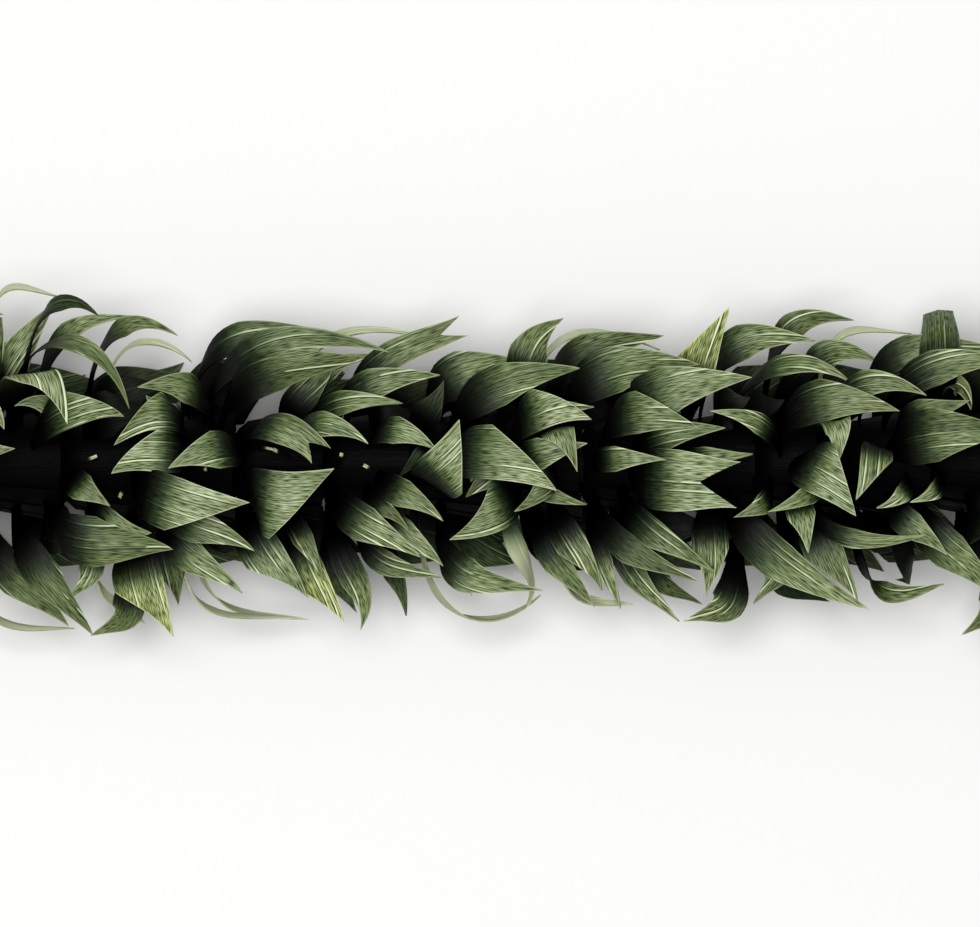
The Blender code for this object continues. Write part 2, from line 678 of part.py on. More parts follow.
def cord_object(finish, collection):
    """The cord that all is bound to, with a stopper knot at each end."""
    half = 0.5 * BUNCHES * PITCH + CORD_OVERHANG
    rod = bmesh.new()
    bmesh.ops.create_cone(
        rod, cap_ends=True, segments=SIDES, radius1=CORD_RADIUS, radius2=CORD_RADIUS, depth=2.0 * half
    )
    for vertex in rod.verts:
        vertex.co = (vertex.co.z, vertex.co.y, AXIS_HEIGHT - vertex.co.x)
    made = object_from("core_cord", rod, finish, collection)
    for end in (-1.0, 1.0):
        ball = bmesh.new()
        bmesh.ops.create_icosphere(ball, subdivisions=2, radius=KNOT_RADIUS)
        bmesh.ops.translate(ball, verts=ball.verts, vec=(end * half, 0.0, AXIS_HEIGHT))
        knot = object_from("knot", ball, finish, collection)
        join = made.modifiers.new("knot", "BOOLEAN")
        join.operation = "UNION"
        join.object = knot
        bake(made)
        bpy.data.objects.remove(knot)
    return made


def main():
    for old in list(bpy.data.objects):
        bpy.data.objects.remove(old)
    lei = bpy.data.collections.new("leaf_head_lei")
    bpy.context.scene.collection.children.link(lei)
    leaf_finish = material("preserved_ti_leaf", (0.09, 0.15, 0.05), 0.55)
    cord_finish = material("hemp_cord", (0.30, 0.22, 0.12), 0.9)
    lashing_finish = material("raffia_lashing", (0.55, 0.45, 0.27), 0.7)
    cord_object(cord_finish, lei)
    leaves = lay_out()
    for bunch in range(BUNCHES):
        bunch_object(bunch, [leaf for owner, leaf in leaves if owner == bunch], leaf_finish, lei)
    for number in range(BUNCHES + 1):
        middle = (number - 0.5 * BUNCHES) * PITCH
        tube(
            f"lashing_{number + 1:02d}",
            middle - 0.5 * LASHING_WIDTH,
            middle + 0.5 * LASHING_WIDTH,
            LASHING_OUTER,
            LASHING_OUTER,
            lashing_finish,
            lei,
        )


main()
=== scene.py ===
"""Looks of a leaf head lei: pieces of preserved ti leaf bound one after another round a laid cord.

The leaves are laid by the same rule as the frame's solids, so each fine bunch keeps its bunch's form.
Sizes are in millimetres and are turned to metres where the meshes are made.
"""

import math
import random
from typing import NamedTuple

import bpy
import numpy as np
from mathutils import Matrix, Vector
from mathutils.bvhtree import BVHTree

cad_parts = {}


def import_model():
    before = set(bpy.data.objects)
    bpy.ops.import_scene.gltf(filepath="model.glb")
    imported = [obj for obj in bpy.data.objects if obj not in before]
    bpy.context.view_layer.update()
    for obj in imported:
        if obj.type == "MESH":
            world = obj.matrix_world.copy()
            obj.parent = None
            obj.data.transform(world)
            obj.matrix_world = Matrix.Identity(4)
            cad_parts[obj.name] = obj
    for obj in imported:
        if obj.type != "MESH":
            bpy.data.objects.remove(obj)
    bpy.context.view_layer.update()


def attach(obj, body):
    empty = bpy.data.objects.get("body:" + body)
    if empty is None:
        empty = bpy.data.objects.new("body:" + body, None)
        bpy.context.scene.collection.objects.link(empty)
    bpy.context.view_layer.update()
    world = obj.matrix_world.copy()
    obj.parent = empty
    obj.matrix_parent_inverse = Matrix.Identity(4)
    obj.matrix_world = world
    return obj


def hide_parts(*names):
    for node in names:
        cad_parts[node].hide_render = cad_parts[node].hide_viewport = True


MM = 0.001

# Driving dimensions: the cord, the bunches on it and the binding between them.
BUNCHES = 18
PITCH = 24.0
AXIS_HEIGHT = 24.0
CORD_OVERHANG = 15.0
COLLAR_NARROW = 10.8
COLLAR_WIDE = 15.7
LASHING_OUTER = 6.2
LASHING_WIDTH = 2.4
CLEARANCE = 0.3
SIDES = 8

# Leaf blades: how deep a root sits, how thick a blade is, and how its width grows and ends.
ROOT_RADIUS = 6.0
BLADE_THICKNESS = 0.8
FLOOR_RISE = 0.5 * BLADE_THICKNESS - AXIS_HEIGHT
ROOT_WIDTH = 3.0
ROOT_SHARE = 0.08
FULL_WIDTH_AT = 0.42
TAPER_AT = 0.55
FORK_NARROWING = 0.25
USUAL_REACH = 0.36
TURNED_AT = 0.71
SHORT_CHORD = 8.0
SHORTEST = 14.0

# How many faces a blade has along it: few where it is nearly straight, more where it bends or turns.
STRAIGHT_LIFT = 23.0
BENT_LIFT = 35.0
TURNED_ROLL = 50.0

# Placing: the tries and the slack that a leaf has, how near the lashings a root may sit, and how far
# a leaf may reach past its root and tip.
SEED = 7
TRIES = 300
FIRST_SLACK = 0.2
RISE_SLACK = (-9.0, 7.0)
DIP_SLACK = 18.0
ROOT_SLACK = 5.0
CLOCK_SLACK = 14.0
PLAN_SLACK = 2.0
LIFT_SLACK = 0.25
ROLL_SLACK = 22.0
LASHING_MARGIN = 3.5
LEAF_BULGE = 20.0
SHELL_END = 0.985

# The stretch that the photo shows, how far its leaves are moved to carry it on, and where tips end.
TILE = 11 * PITCH
PHOTO_EDGE = 138.0
ROOT_EDGE = 134.0
END_REACH = 235.0
LAST_ROOT = 0.5 * BUNCHES * PITCH - 2.0

# How many leaves a bunch has, and for the inner ones the turn between two and the angle left free above.
LEAVES_PER_BUNCH = 18
GOLDEN_ANGLE = 137.5
OPEN_ABOVE = 40.0


class Leaf(NamedTuple):
    """One leaf piece. Its root is `root` along the cord, facing `clock` degrees round it (0 up, 90 to
    +Y). Its tip is at x, y and `rise` above the cord, pointing `heading` degrees in plan and `dip`
    degrees down. `lift` is how straight out it starts and `reach` how straight it ends. `roll` turns
    the blade on edge, `skew` moves the tip to one edge (1 is the left), and `fork` is how far along the
    notch between two tips reaches. `light` is under 1 for a shaded leaf and over 1 for a sunlit one."""

    root: float
    clock: float
    x: float
    y: float
    rise: float
    heading: float
    width: float
    lift: float = 26.0
    reach: float = 0.0
    roll: float = 0.0
    skew: float = 0.0
    fork: float = 0.0
    dip: float = 12.0
    light: float = 1.0


# The leaves seen from above on the middle stretch, in the order in which they are placed: a few that
# need their place most, those in front, the others from left to right, and four in the gaps that are
# painted dark as shade.
SEEN = (
    Leaf(109, 14, 144, 9, 32, -4, 15, 28),
    Leaf(107, 18, 100.8, -9.6, 31, 258, 9, 28, skew=-0.9),
    Leaf(-46, 50, -13.8, 24.8, 16, 0, 9, 24),
    Leaf(-12, 36, 24.8, 26.8, 24, 5, 12, 30),
    Leaf(-20, 46, 12, 28, 16, 12, 13, 26),
    Leaf(-34, 26, -14.5, 4, 25, -40, 8, 24),
    Leaf(-117, 35, -131.5, 16.2, 20, 205, 6, 20),
    Leaf(-68, -18, -43, -0.9, 32, 8, 19, 32, 18, skew=1, light=1.03),
    Leaf(-132, 45, -116.3, 11.2, 33, -90, 14, 36, 20, skew=1, light=1.03),
    Leaf(-126, 30, -99.5, 14.2, 30, -3, 11, 24, skew=-1),
    Leaf(-84, 28, -103.8, 5.5, 26, 212, 11, 30, 18, skew=0.8),
    Leaf(-81, 12, -104.6, -2.2, 29, 200, 12, 28, skew=0.8, light=1.03),
    Leaf(-68, 10, -88.8, -1, 32, 212, 11, 30),
    Leaf(-100, -14, -66.3, -10.3, 30, -14, 15, 30, skew=0.8, light=1.03),
    Leaf(-68, 25, -46.5, 2.5, 30, -52, 9, 30, fork=0.85),
    Leaf(-56, 25, -33.6, 5.9, 28, -42, 8),
    Leaf(-19, -16, -8.5, 12.5, 31, 50, 15, 27, skew=1, light=1.03),
    Leaf(-14, 8, 18.4, -7.2, 34, -18, 15, 30, skew=-1, light=1.03),
    Leaf(4, 26, 28.3, 12.7, 30, -6, 12, 26, skew=-0.9, light=1.03),
    Leaf(8, -18, -11.2, -20.7, 28, 184, 12, 28, skew=0.9),
    Leaf(18, -5, 6.6, -12.9, 29, 196, 7, skew=0.9),
    Leaf(28, 2, 48.5, 1.4, 35, -5, 7, 30),
    Leaf(38, -8, 68.5, -5.5, 32, -6, 17, 28, fork=0.75, light=1.03),
    Leaf(30, 30, 57.5, 10.3, 30, -6, 12, 28, skew=-0.6),
    Leaf(33, 32, 72.3, 24.2, 26, 3, 14, 32),
    Leaf(84, 6, 100.7, -14, 34, -36, 15, 30, skew=-0.8, light=1.03),
    Leaf(78, 32, 113, 14.8, 28, -10, 12, 30, skew=-0.5),
    Leaf(-134, 50, -99.5, 15.5, 24, -75, 8, 49, 27, roll=30, light=0.95),
    Leaf(-141, 65, -120.5, 45, 10, 50, 11, 14),
    Leaf(-132, 62, -108, 41.5, 16, -42, 7, 44, roll=30, light=0.6),
    Leaf(-141, 75, -118.5, 46, 6, -14, 4, 47, roll=62),
    Leaf(-156, 70, -134.5, 41.5, 12, -15, 9, 36),
    Leaf(-126, 70, -99, 41.3, 4, 4, 6, 36, roll=20),
    Leaf(-112, 62, -86.5, 35.8, 10, -34, 6, 40, roll=15),
    Leaf(-108, 70, -83, 28.5, 2, -45, 3.5, 38, roll=60),
    Leaf(-150, 40, -134, 9.8, 27, -75, 9, 30),
    Leaf(-156, 5, -131, 4.6, 28, 5, 10, 24),
    Leaf(-76, 40, -97.3, 21.5, 26, 190, 9, 30),
    Leaf(-84, 30, -95, 20, 22, 130, 9, 16),
    Leaf(-120, -10, -104.9, -11.3, 24, -35, 8, 22),
    Leaf(-124, -46, -87.5, -23.3, 22, -8, 14, 34, skew=-0.3),
    Leaf(-112, -30, -93.5, -19.2, 25, -14, 9, 26, skew=0.6),
    Leaf(-132, -60, -110, -47.3, 8, -55, 10),
    Leaf(-141, -65, -117, -45, 2, -50, 10, 28),
    Leaf(-148, -92, -115.5, -45.6, -6, -3, 4.5, 43, roll=55),
    Leaf(-110, -70, -117, -37.5, 4, 225, 7, 28),
    Leaf(-100, -80, -111, -47.4, -2, 205, 9, 42),
    Leaf(-112, -75, -96, -44.5, 2, -45, 4, 32, roll=60),
    Leaf(-98, -60, -87.7, -47.5, 14, -80, 14, 34, skew=0.8, light=1.3),
    Leaf(-90, -72, -86.5, -39, 2, -85, 9, 26, light=0.85),
    Leaf(-92, -35, -65, -23.8, 22, -38, 10),
    Leaf(-84, 78, -41, 35.8, 6, -6, 8, 36, 24),
    Leaf(-80, 55, -27.8, 31.2, 14, -20, 10, 32, 30),
    Leaf(-78, 35, -36.5, 28.3, 20, 10, 12, 30),
    Leaf(-58, 55, -43, 29, 8, 60, 9, 16),
    Leaf(-50, 60, -31, 31, 6, 5, 6, 24),
    Leaf(-50, 38, -24, 17, 24, -10, 7, 24),
    Leaf(-40, 58, -7, 38.4, 12, 24, 8, 28, fork=0.86),
    Leaf(-57, 80, -20, 35.5, 2, -12, 5, 37, roll=55),
    Leaf(-92, -55, -68.5, -35.5, 12, -45, 9),
    Leaf(-88, -85, -54, -42.5, -4, -3, 4.5, 41, 24, roll=55),
    Leaf(-84, -80, -50, -43.5, -10, -8, 4, 38, 22, roll=60),
    Leaf(-70, -52, -50.5, -36.7, 12, -68, 12, 24, skew=0.7),
    Leaf(-56, -50, -46, -32, 16, -72, 6, 18),
    Leaf(-56, -60, -40, -43.7, 10, -72, 12, skew=0.8, light=1.3),
    Leaf(-47, -75, -37, -41, 0, -60, 8, 28, light=0.7),
    Leaf(-46, -62, -36, -46, 6, -112, 8, 30),
    Leaf(-46, -28, -19.3, -25.4, 24, -38, 10),
    Leaf(-38, -58, -13.3, -31.2, 10, -15, 7, 30),
    Leaf(-30, -80, -23.3, -42, -4, -85, 6, 28, light=0.7),
    Leaf(-20, 45, -13, 24, 14, 75, 8, 14, light=0.6),
    Leaf(8, 54, 20.1, 41, 10, 28, 11, 32, 13),
    Leaf(3, 30, 27.5, 17.2, 26, 0, 8, 24),
    Leaf(17, 22, 24, -1.9, 31, -82, 9, 30, 14, skew=0.5),
    Leaf(5, 10, 27.6, 6.9, 24, 10, 9, 22),
    Leaf(-13, 12, -24, -3.5, 24, 215, 3.5, 22),
    Leaf(-32, -12, -12.8, -15.6, 27, -48, 8),
    Leaf(-34, -25, -22.4, -18.4, 20, -60, 5, 22),
    Leaf(-32, -38, -13, -28, 16, -52, 8, 24),
    Leaf(4, -5, -6.6, -9.2, 24, 225, 7, 24),
    Leaf(8, -12, 26.5, -10.2, 24, -10, 5, 24),
    Leaf(-16, -52, 14.5, -34.5, 14, -10, 10, 38, 22),
    Leaf(-14, -62, -5, -36.5, 6, -75, 5, 22),
    Leaf(4, -60, 10, -40, 0, -120, 6, roll=65),
    Leaf(-21, -85, 14, -36, -4, 40, 6, 40, 22, roll=60),
    Leaf(12, -58, 29, -39.4, 8, -55, 8, 24),
    Leaf(17, -42, 31, -34.8, 16, -78, 9, 24, skew=0.5),
    Leaf(16, -78, 40, -39, -2, -8, 5, 36, 16, roll=50),
    Leaf(10, 80, 47, 31.8, 2, -24, 4.5, 39, 18, roll=55),
    Leaf(14, 58, 48.3, 35.8, 14, 8, 10, 34),
    Leaf(18, 45, 57, 28.5, 20, -5, 13, 34),
    Leaf(39, 14, 65, 10.1, 26, 0, 8),
    Leaf(54, 62, 66.3, 43.8, 16, 70, 11, 20, skew=-0.6, light=1.3),
    Leaf(58, 62, 90, 34.2, 12, -8, 10, 38),
    Leaf(66, 50, 100.3, 22.2, 18, -42, 7, 36, roll=25),
    Leaf(82, 18, 60.8, 14.3, 30, 178, 6, 28),
    Leaf(52, 4, 72.5, 3, 25, 5, 6, 24),
    Leaf(28, -38, 57.5, -32, 20, -28, 8, 28, skew=0.5),
    Leaf(36, -32, 62, -30, 24, -42, 8, 28, skew=0.5),
    Leaf(60, -38, 59.8, -36, 18, -102, 10, 28),
    Leaf(69, -72, 54, -43.3, 2, 200, 10, 42),
    Leaf(64, -32, 105, -40, 12, -30, 11, 28, skew=0.5),
    Leaf(78, -20, 67.2, -14.5, 26, 200, 6),
    Leaf(82, -66, 73, -38.5, 6, 230, 7, 30),
    Leaf(76, -75, 94.5, -38, 0, -20, 6, 34, light=0.6),
    Leaf(28, -68, 36.3, -40, 4, -72, 6, 22),
    Leaf(34, -66, 52.5, -43.4, 2, -45, 7),
    Leaf(43, -75, 59, -38.8, -4, -30, 6, 32, light=0.85),
    Leaf(76, 70, 101, 40, 8, -10, 8, 37),
    Leaf(84, 62, 108.3, 28.4, 6, -28, 8, 34),
    Leaf(92, 42, 120.6, 19.2, 24, -30, 8, 32),
    Leaf(102, 64, 142, 32, 12, -6, 10, 32, 22),
    Leaf(108, 50, 146, 29, 18, -4, 10, 32),
    Leaf(124, 50, 124, 42.6, 4, 90, 11, 32, 14, fork=0.97, dip=65, light=0.9),
    Leaf(90, 80, 117, 36.3, 2, -8, 4, 39, roll=60),
    Leaf(112, 32, 132.5, 17.9, 24, 20, 8, 24),
    Leaf(124, 45, 133, 16, 22, -85, 6, 36),
    Leaf(92, 22, 95.5, -1.5, 30, -97, 9, 34, 16, skew=-0.5, light=1.06),
    Leaf(92, -8, 76.3, -12.8, 30, 198, 6),
    Leaf(84, -22, 87.7, -24.3, 26, -88, 8, 28),
    Leaf(88, -42, 101.8, -37.5, 14, -75, 11, 24, skew=0.7),
    Leaf(88, -38, 120.3, -18.8, 24, 14, 5.5, 34),
    Leaf(100, -66, 126, -33, 6, 15, 7, 40, roll=20),
    Leaf(112, -50, 112.5, -31.8, 0, 175, 6, 34, light=0.6),
    Leaf(116, -12, 106.7, -11.9, 24, 196, 5, 24),
    Leaf(125, -12, 115.9, -10.3, 25, 196, 5, 24),
    Leaf(110, -30, 126.3, -25.2, 22, -50, 8, 24),
    Leaf(117, -35, 141, -38, 20, -58, 11),
    Leaf(140, -68, 130.8, -47.2, 4, 215, 9, 40),
    Leaf(17, 62, 36, 13, 12, -10, 12, 15, light=0.3),
    Leaf(42, -75, 60, -19, 6, -10, 12, 15, light=0.3),
    Leaf(92, -75, 109, -16, 6, -5, 12, 15, light=0.3),
    Leaf(88, 68, 105, 14, 8, -10, 11, 15, light=0.3),
)


def eased(value):
    """An eased step from 0 to 1, for a number or an array."""
    value = np.minimum(1.0, np.maximum(0.0, value))
    return value * value * (3.0 - 2.0 * value)


def outwards(clock):
    """The way out from the cord at a clock angle."""
    turn = math.radians(clock)
    return Vector((0.0, math.sin(turn), math.cos(turn)))


class Blade:
    """The curved ribbon of one leaf: its centre line, its crosswise direction and its two edges."""

    def __init__(self, leaf):
        self.leaf = leaf
        out = outwards(leaf.clock)
        heading = math.radians(leaf.heading)
        dip = math.radians(leaf.dip)
        ahead = Vector((math.cos(heading) * math.cos(dip), math.sin(heading) * math.cos(dip), -math.sin(dip)))
        start = Vector((leaf.root, 0.0, AXIS_HEIGHT)) + out * ROOT_RADIUS
        tip = Vector((leaf.x, leaf.y, AXIS_HEIGHT + leaf.rise))
        reach = leaf.reach or USUAL_REACH * (tip - start).length
        flat = Vector((-math.sin(heading), math.cos(heading), 0.0))
        roll = math.radians(leaf.roll)
        self.end_across = flat * math.cos(roll) + flat.cross(ahead) * math.sin(roll)
        self.stations = 5 if leaf.lift > BENT_LIFT or leaf.roll > TURNED_ROLL else 4
        if leaf.lift < STRAIGHT_LIFT:
            self.stations = 3
        across = out.cross(tip - start)
        if across.length < SHORT_CHORD:
            across = Vector((1.0, 0.0, 0.0))
        if across.dot(self.end_across) < 0.0:
            across.negate()
        self.start_across = across.normalized()
        tip = tip - self.end_across * (leaf.skew * 0.5 * leaf.width)
        self.points = (start, start + out * leaf.lift, tip - ahead * reach, tip)

    def at(self, along):
        """The point on the centre line, the direction there and the direction across the blade."""
        a, b, c, d = self.points
        rest = 1.0 - along
        place = a * rest**3 + b * (3 * rest**2 * along) + c * (3 * rest * along**2) + d * along**3
        ahead = (b - a) * rest**2 + (c - b) * (2 * rest * along) + (d - c) * along**2
        ahead.normalize()
        across = self.start_across.lerp(self.end_across, eased(along / TURNED_AT))
        across = across - ahead * across.dot(ahead)
        return place, ahead, across.normalized()

    def taper(self, along):
        """1 along the strap, and falling straight to 0 at a pointed tip."""
        if self.leaf.fork:
            return 1.0 - FORK_NARROWING * eased((along - TAPER_AT) / (1.0 - TAPER_AT))
        return np.minimum(1.0, (1.0 - along) / (1.0 - TAPER_AT))

    def half_width(self, along):
        """Narrow at the root and full before the middle."""
        grown = eased((along - 0.5 * ROOT_SHARE) / (FULL_WIDTH_AT - 0.5 * ROOT_SHARE))
        return 0.5 * (ROOT_WIDTH + (self.leaf.width - ROOT_WIDTH) * grown) * self.taper(along)

    def row(self, along, sides, low):
        """Points across the blade at sides 1 (left) to -1, kept `low` above the surface, and the normal."""
        middle, ahead, across = self.at(along)
        half = self.half_width(along)
        shift = self.leaf.skew * 0.5 * self.leaf.width * (1.0 - self.taper(along))
        places = []
        for side in sides:
            place = middle + across * (side * half + shift)
            place.z = max(place.z, low)
            places.append(place)
        return places, ahead.cross(across)


def test_shell(blade, start):
    """A thicker copy of the blade from `start` along it on, for finding what it would touch."""
    half = 0.5 * BLADE_THICKNESS + 0.5 * CLEARANCE
    sides = (1.0, 0.0, -1.0) if blade.leaf.fork else (1.0, -1.0)
    points = []
    for station in range(blade.stations + 1):
        along = min(SHELL_END, max(start, station / blade.stations))
        places, normal = blade.row(along, sides, 0.5 * BLADE_THICKNESS)
        for place in places:
            points.append(place + normal * half)
            points.append(place - normal * half)
    row = 2 * len(sides)
    faces = [(0, 1, row - 1, row - 2)]
    for base in range(0, len(points) - row, row):
        for low in (0, 1):
            for left in range(base + low, base + row - 2, 2):
                right = left + 2
                faces.append((left, right, right + row))
                faces.append((left, right + row, left + row))
        for top in (base, base + row - 2):
            faces.append((top, top + 1, top + 1 + row, top + row))
    return BVHTree.FromPolygons(points, faces)


def round_shell(start, end, start_radius, end_radius):
    """A many-sided tapered rod along the cord, for finding what would touch it."""
    points = []
    for x, radius in ((start - CLEARANCE, start_radius), (end + CLEARANCE, end_radius)):
        for side in range(SIDES):
            place = outwards(360.0 * side / SIDES) * (radius + CLEARANCE)
            points.append(Vector((x, place.y, place.z + AXIS_HEIGHT)))
    faces = [(i, (i + 1) % SIDES, (i + 1) % SIDES + SIDES, i + SIDES) for i in range(SIDES)]
    faces.append(tuple(range(SIDES)))
    faces.append(tuple(range(SIDES, 2 * SIDES)))
    return BVHTree.FromPolygons(points, faces)


def bunch_of(x):
    """The bunch whose collar holds a root at x."""
    return min(BUNCHES - 1, max(0, int(x / PITCH + 0.5 * BUNCHES)))


def collar_middle(bunch):
    return (bunch + 0.5 - 0.5 * BUNCHES) * PITCH


def collar_ends(bunch):
    """Where a bunch's bound butts start and end along the cord, between two lashings."""
    half = 0.5 * (PITCH - LASHING_WIDTH) - CLEARANCE
    return collar_middle(bunch) - half, collar_middle(bunch) + half


class Placed(NamedTuple):
    """A leaf that has its place, with its bunch and its shell, whole and past the root."""

    bunch: int
    leaf: Leaf
    whole: BVHTree
    outer: BVHTree


def stretch_of(leaf):
    """How far along the lei a leaf may reach, from and to."""
    return min(leaf.root, leaf.x) - LEAF_BULGE, max(leaf.root, leaf.x) + LEAF_BULGE


class Placer:
    """Places leaves one by one, each bent a little where it would touch one placed before."""

    def __init__(self):
        self.draw = random.Random(SEED)
        reach = 0.5 * BUNCHES * PITCH + CORD_OVERHANG
        self.cord = round_shell(-reach, reach, LASHING_OUTER, LASHING_OUTER)
        self.collars = [
            round_shell(*collar_ends(bunch), COLLAR_NARROW, COLLAR_WIDE) for bunch in range(BUNCHES)
        ]
        self.placed = []

    def clear(self, blade, bunch, near):
        if (blade.points[3] - blade.points[0]).length < SHORTEST:
            return False
        whole = test_shell(blade, 0.0)
        outer = test_shell(blade, ROOT_SHARE)
        if self.cord.overlap(outer):
            return False
        for other in range(max(0, bunch - 2), min(BUNCHES, bunch + 3)):
            if other != bunch and self.collars[other].overlap(whole):
                return False
        for placed in near:
            if placed.bunch == bunch:
                if outer.overlap(placed.outer):
                    return False
            elif whole.overlap(placed.whole):
                return False
        return True

    def changed(self, leaf, slack):
        """The leaf with its height, start and tilt moved by up to `slack`, and its plan a little."""
        draw = self.draw.uniform
        if leaf.rise > FLOOR_RISE:
            rise = max(FLOOR_RISE, leaf.rise + draw(*RISE_SLACK) * slack)
            leaf = leaf._replace(rise=rise, dip=leaf.dip + draw(-DIP_SLACK, DIP_SLACK) * slack)
        return leaf._replace(
            root=leaf.root + draw(-ROOT_SLACK, ROOT_SLACK) * slack,
            clock=leaf.clock + draw(-CLOCK_SLACK, CLOCK_SLACK) * slack,
            x=leaf.x + draw(-PLAN_SLACK, PLAN_SLACK) * slack,
            y=leaf.y + draw(-PLAN_SLACK, PLAN_SLACK) * slack,
            lift=leaf.lift * (1.0 + draw(-LIFT_SLACK, LIFT_SLACK) * slack),
            roll=leaf.roll + draw(-ROLL_SLACK, ROLL_SLACK) * slack,
        )

    def place(self, leaf):
        """Keeps the leaf where it is clear of all placed before, or leaves it out after the last try."""
        bunch = bunch_of(leaf.root)
        middle = collar_middle(bunch)
        hold = 0.5 * PITCH - LASHING_MARGIN
        low, high = stretch_of(leaf)
        near = []
        for placed in self.placed:
            first, last = stretch_of(placed.leaf)
            if first < high and last > low:
                near.append(placed)
        for attempt in range(TRIES):
            trial = leaf if attempt == 0 else self.changed(leaf, FIRST_SLACK + attempt / TRIES)
            root = min(middle + hold, max(middle - hold, trial.root))
            trial = trial._replace(root=root, x=min(END_REACH, trial.x))
            blade = Blade(trial)
            if self.clear(blade, bunch, near):
                whole, outer = test_shell(blade, 0.0), test_shell(blade, ROOT_SHARE)
                self.placed.append(Placed(bunch, trial, whole, outer))
                return


def floor_leaves(bunch, draw):
    """Two leaves of a bunch spread flat on the surface, one to either side: the lei lies on these."""
    middle = collar_middle(bunch)
    for side in (-1.0, 1.0):
        yield Leaf(
            root=middle + draw(-6, 6),
            clock=side * draw(138, 148),
            x=middle + draw(18, 28),
            y=side * draw(22, 30),
            rise=FLOOR_RISE,
            heading=side * draw(15, 45),
            width=draw(13, 17),
            lift=draw(20, 22.5),
            dip=-10.0,
            # Painted shade, as it lies under the others.
            light=0.7,
        )


def low_leaves(bunch, draw):
    """Two wide leaves of a bunch low at its sides, which close it from below."""
    middle = collar_middle(bunch)
    for side in (-1.0, 1.0):
        yield Leaf(
            root=middle + draw(-8, 8),
            clock=side * draw(108, 126),
            x=middle + draw(18, 32),
            y=side * draw(21, 28),
            rise=draw(-17, -11),
            heading=side * draw(0, 30),
            width=draw(19, 23),
            lift=draw(11, 15),
            dip=8.0,
            # Painted shade, as it lies under the others.
            light=0.7,
        )


def inner_leaf(bunch, number, draw):
    """A shorter leaf that fills the bunch from inside, at the next golden-angle turn round the cord."""
    middle = collar_middle(bunch)
    clock = OPEN_ABOVE + (number * GOLDEN_ANGLE + 40.0 * bunch) % (360.0 - 2.0 * OPEN_ABOVE)
    spread = draw(19, 26)
    out = outwards(clock)
    up = 26.0 if out.z > 0.0 else 20.0
    return Leaf(
        root=middle + draw(-8, 8),
        clock=clock,
        x=middle + draw(10, 26),
        y=out.y * spread,
        rise=out.z * up * draw(0.7, 0.95),
        heading=draw(-25, 25) + 25.0 * out.y,
        width=draw(12, 16),
        lift=draw(14, 22),
        # Painted shade, as it lies deep among the others.
        light=0.42,
    )


def lay_out():
    """All leaves in their places."""
    placer = Placer()
    for bunch in range(BUNCHES):
        for leaf in floor_leaves(bunch, placer.draw.uniform):
            placer.place(leaf)
    for bunch in range(BUNCHES):
        for leaf in low_leaves(bunch, placer.draw.uniform):
            placer.place(leaf)
    for leaf in SEEN:
        placer.place(leaf)
    for shift in (-TILE, TILE):
        for leaf in SEEN:
            copy = leaf._replace(root=leaf.root + shift, x=leaf.x + shift)
            if ROOT_EDGE < abs(copy.root) < LAST_ROOT and abs(copy.x) > PHOTO_EDGE:
                placer.place(copy)
    for bunch in range(BUNCHES):
        for number in range(LEAVES_PER_BUNCH):
            if sum(placed.bunch == bunch for placed in placer.placed) < LEAVES_PER_BUNCH:
                placer.place(inner_leaf(bunch, number, placer.draw.uniform))
    return placer.placed


# Fine blades: the blank's rows and columns, the real thickness, and how the sheet curls and ripples.
BUNCH_SEED = 100
ROWS_TO_CUT = 15
ROWS_IN_CUT = 12
COLUMNS = 10
LEAF_THICKNESS = 0.45
CUP = 0.07
CUP_RANGE = (-0.6, 1.4)
CUP_FULLNESS = 0.7
CUP_LEVEL = 0.4
RIPPLE = 0.35
RIPPLES = (5.0, 9.0)
RIPPLE_SLANT = 2.0
LOWEST = 0.3
CURVE_OVER_CHORD = 1.15
SMOOTH_BELOW = math.radians(50.0)

# Each piece takes its marks from another place on the pattern, this many millimetres off.
MAP_SHIFT = (20.0, 900.0)
BUTT_MAP_SHIFT = (300.0, 900.0)
RAFFIA_MAP_SHIFT = (5.0, 90.0)
RAFFIA_MAP_LENGTH = 40.0

# The leaves' butts, side by side round the cord: their waist, and how far they overlap, tuck under the
# bunch before, stand out past their own, and vary.
BUTTS = 16
BUTT_WAIST = 5.3
WAIST_SHARE = 0.16
BUTT_OVERLAP = 1.5
BUTT_TUCK = 1.6
BUTT_PAST = (2.0, 3.4)
BUTT_LAP = 0.4
BUTT_SAG = 0.5
BUTT_SWAY = 0.1
# How much light is painted on the butts: so little that they are painted shade, nearly black.
BUTT_LIGHT = 0.1
# Past here along the cord no bunch lies over the butts, so that much more light is painted on them.
END_FROM = 192.0
END_LIGHT = 0.5

# The raffia round the butts, how unevenly it is wound and the painted shade that darkens it, then its
# loose ends: how they lean, bend and turn, how far along each is painted dark as shade and fades out of
# it, and where they come up at x, y to be seen as pale flecks.
LASHING_SEED = 500
RAFFIA_TURNS = 3
RAFFIA_WIDTH = 1.7
RAFFIA_THICKNESS = 0.3
RAFFIA_RADIUS = 6.0
RAFFIA_LEAN = 0.5
RAFFIA_WAVE = 0.12
RAFFIA_WAVES = 23.0
RAFFIA_LIGHT = 0.15
TAIL_AIM = 17.0
TAIL_HEIGHTS = (14.0, 18.0)
TAIL_ALONG = 8.0
TAIL_ASIDE = 6.0
TAIL_BEND = 2.0
TAIL_ARCH = 3.0
TAIL_TURN = 0.6
TAIL_LEAN = 0.2
TAIL_WIDTHS = (0.6, 1.0)
TAIL_SHADED_TO = 0.82
TAIL_SHADE_FADE = 0.06
# An end belongs to a lashing that is nearer than this along the cord.
RAFFIA_END_REACH = 12.1
RAFFIA_ENDS = (
    (-108.7, 2.5), (-102.5, -9), (-98.5, -7.3), (-79, -1), (-60, 4.3), (-41, 3.3), (-35, 0), (-30.5, -5),
    (17.3, -2.5), (76.5, 7.5), (94.5, 8.2),
)

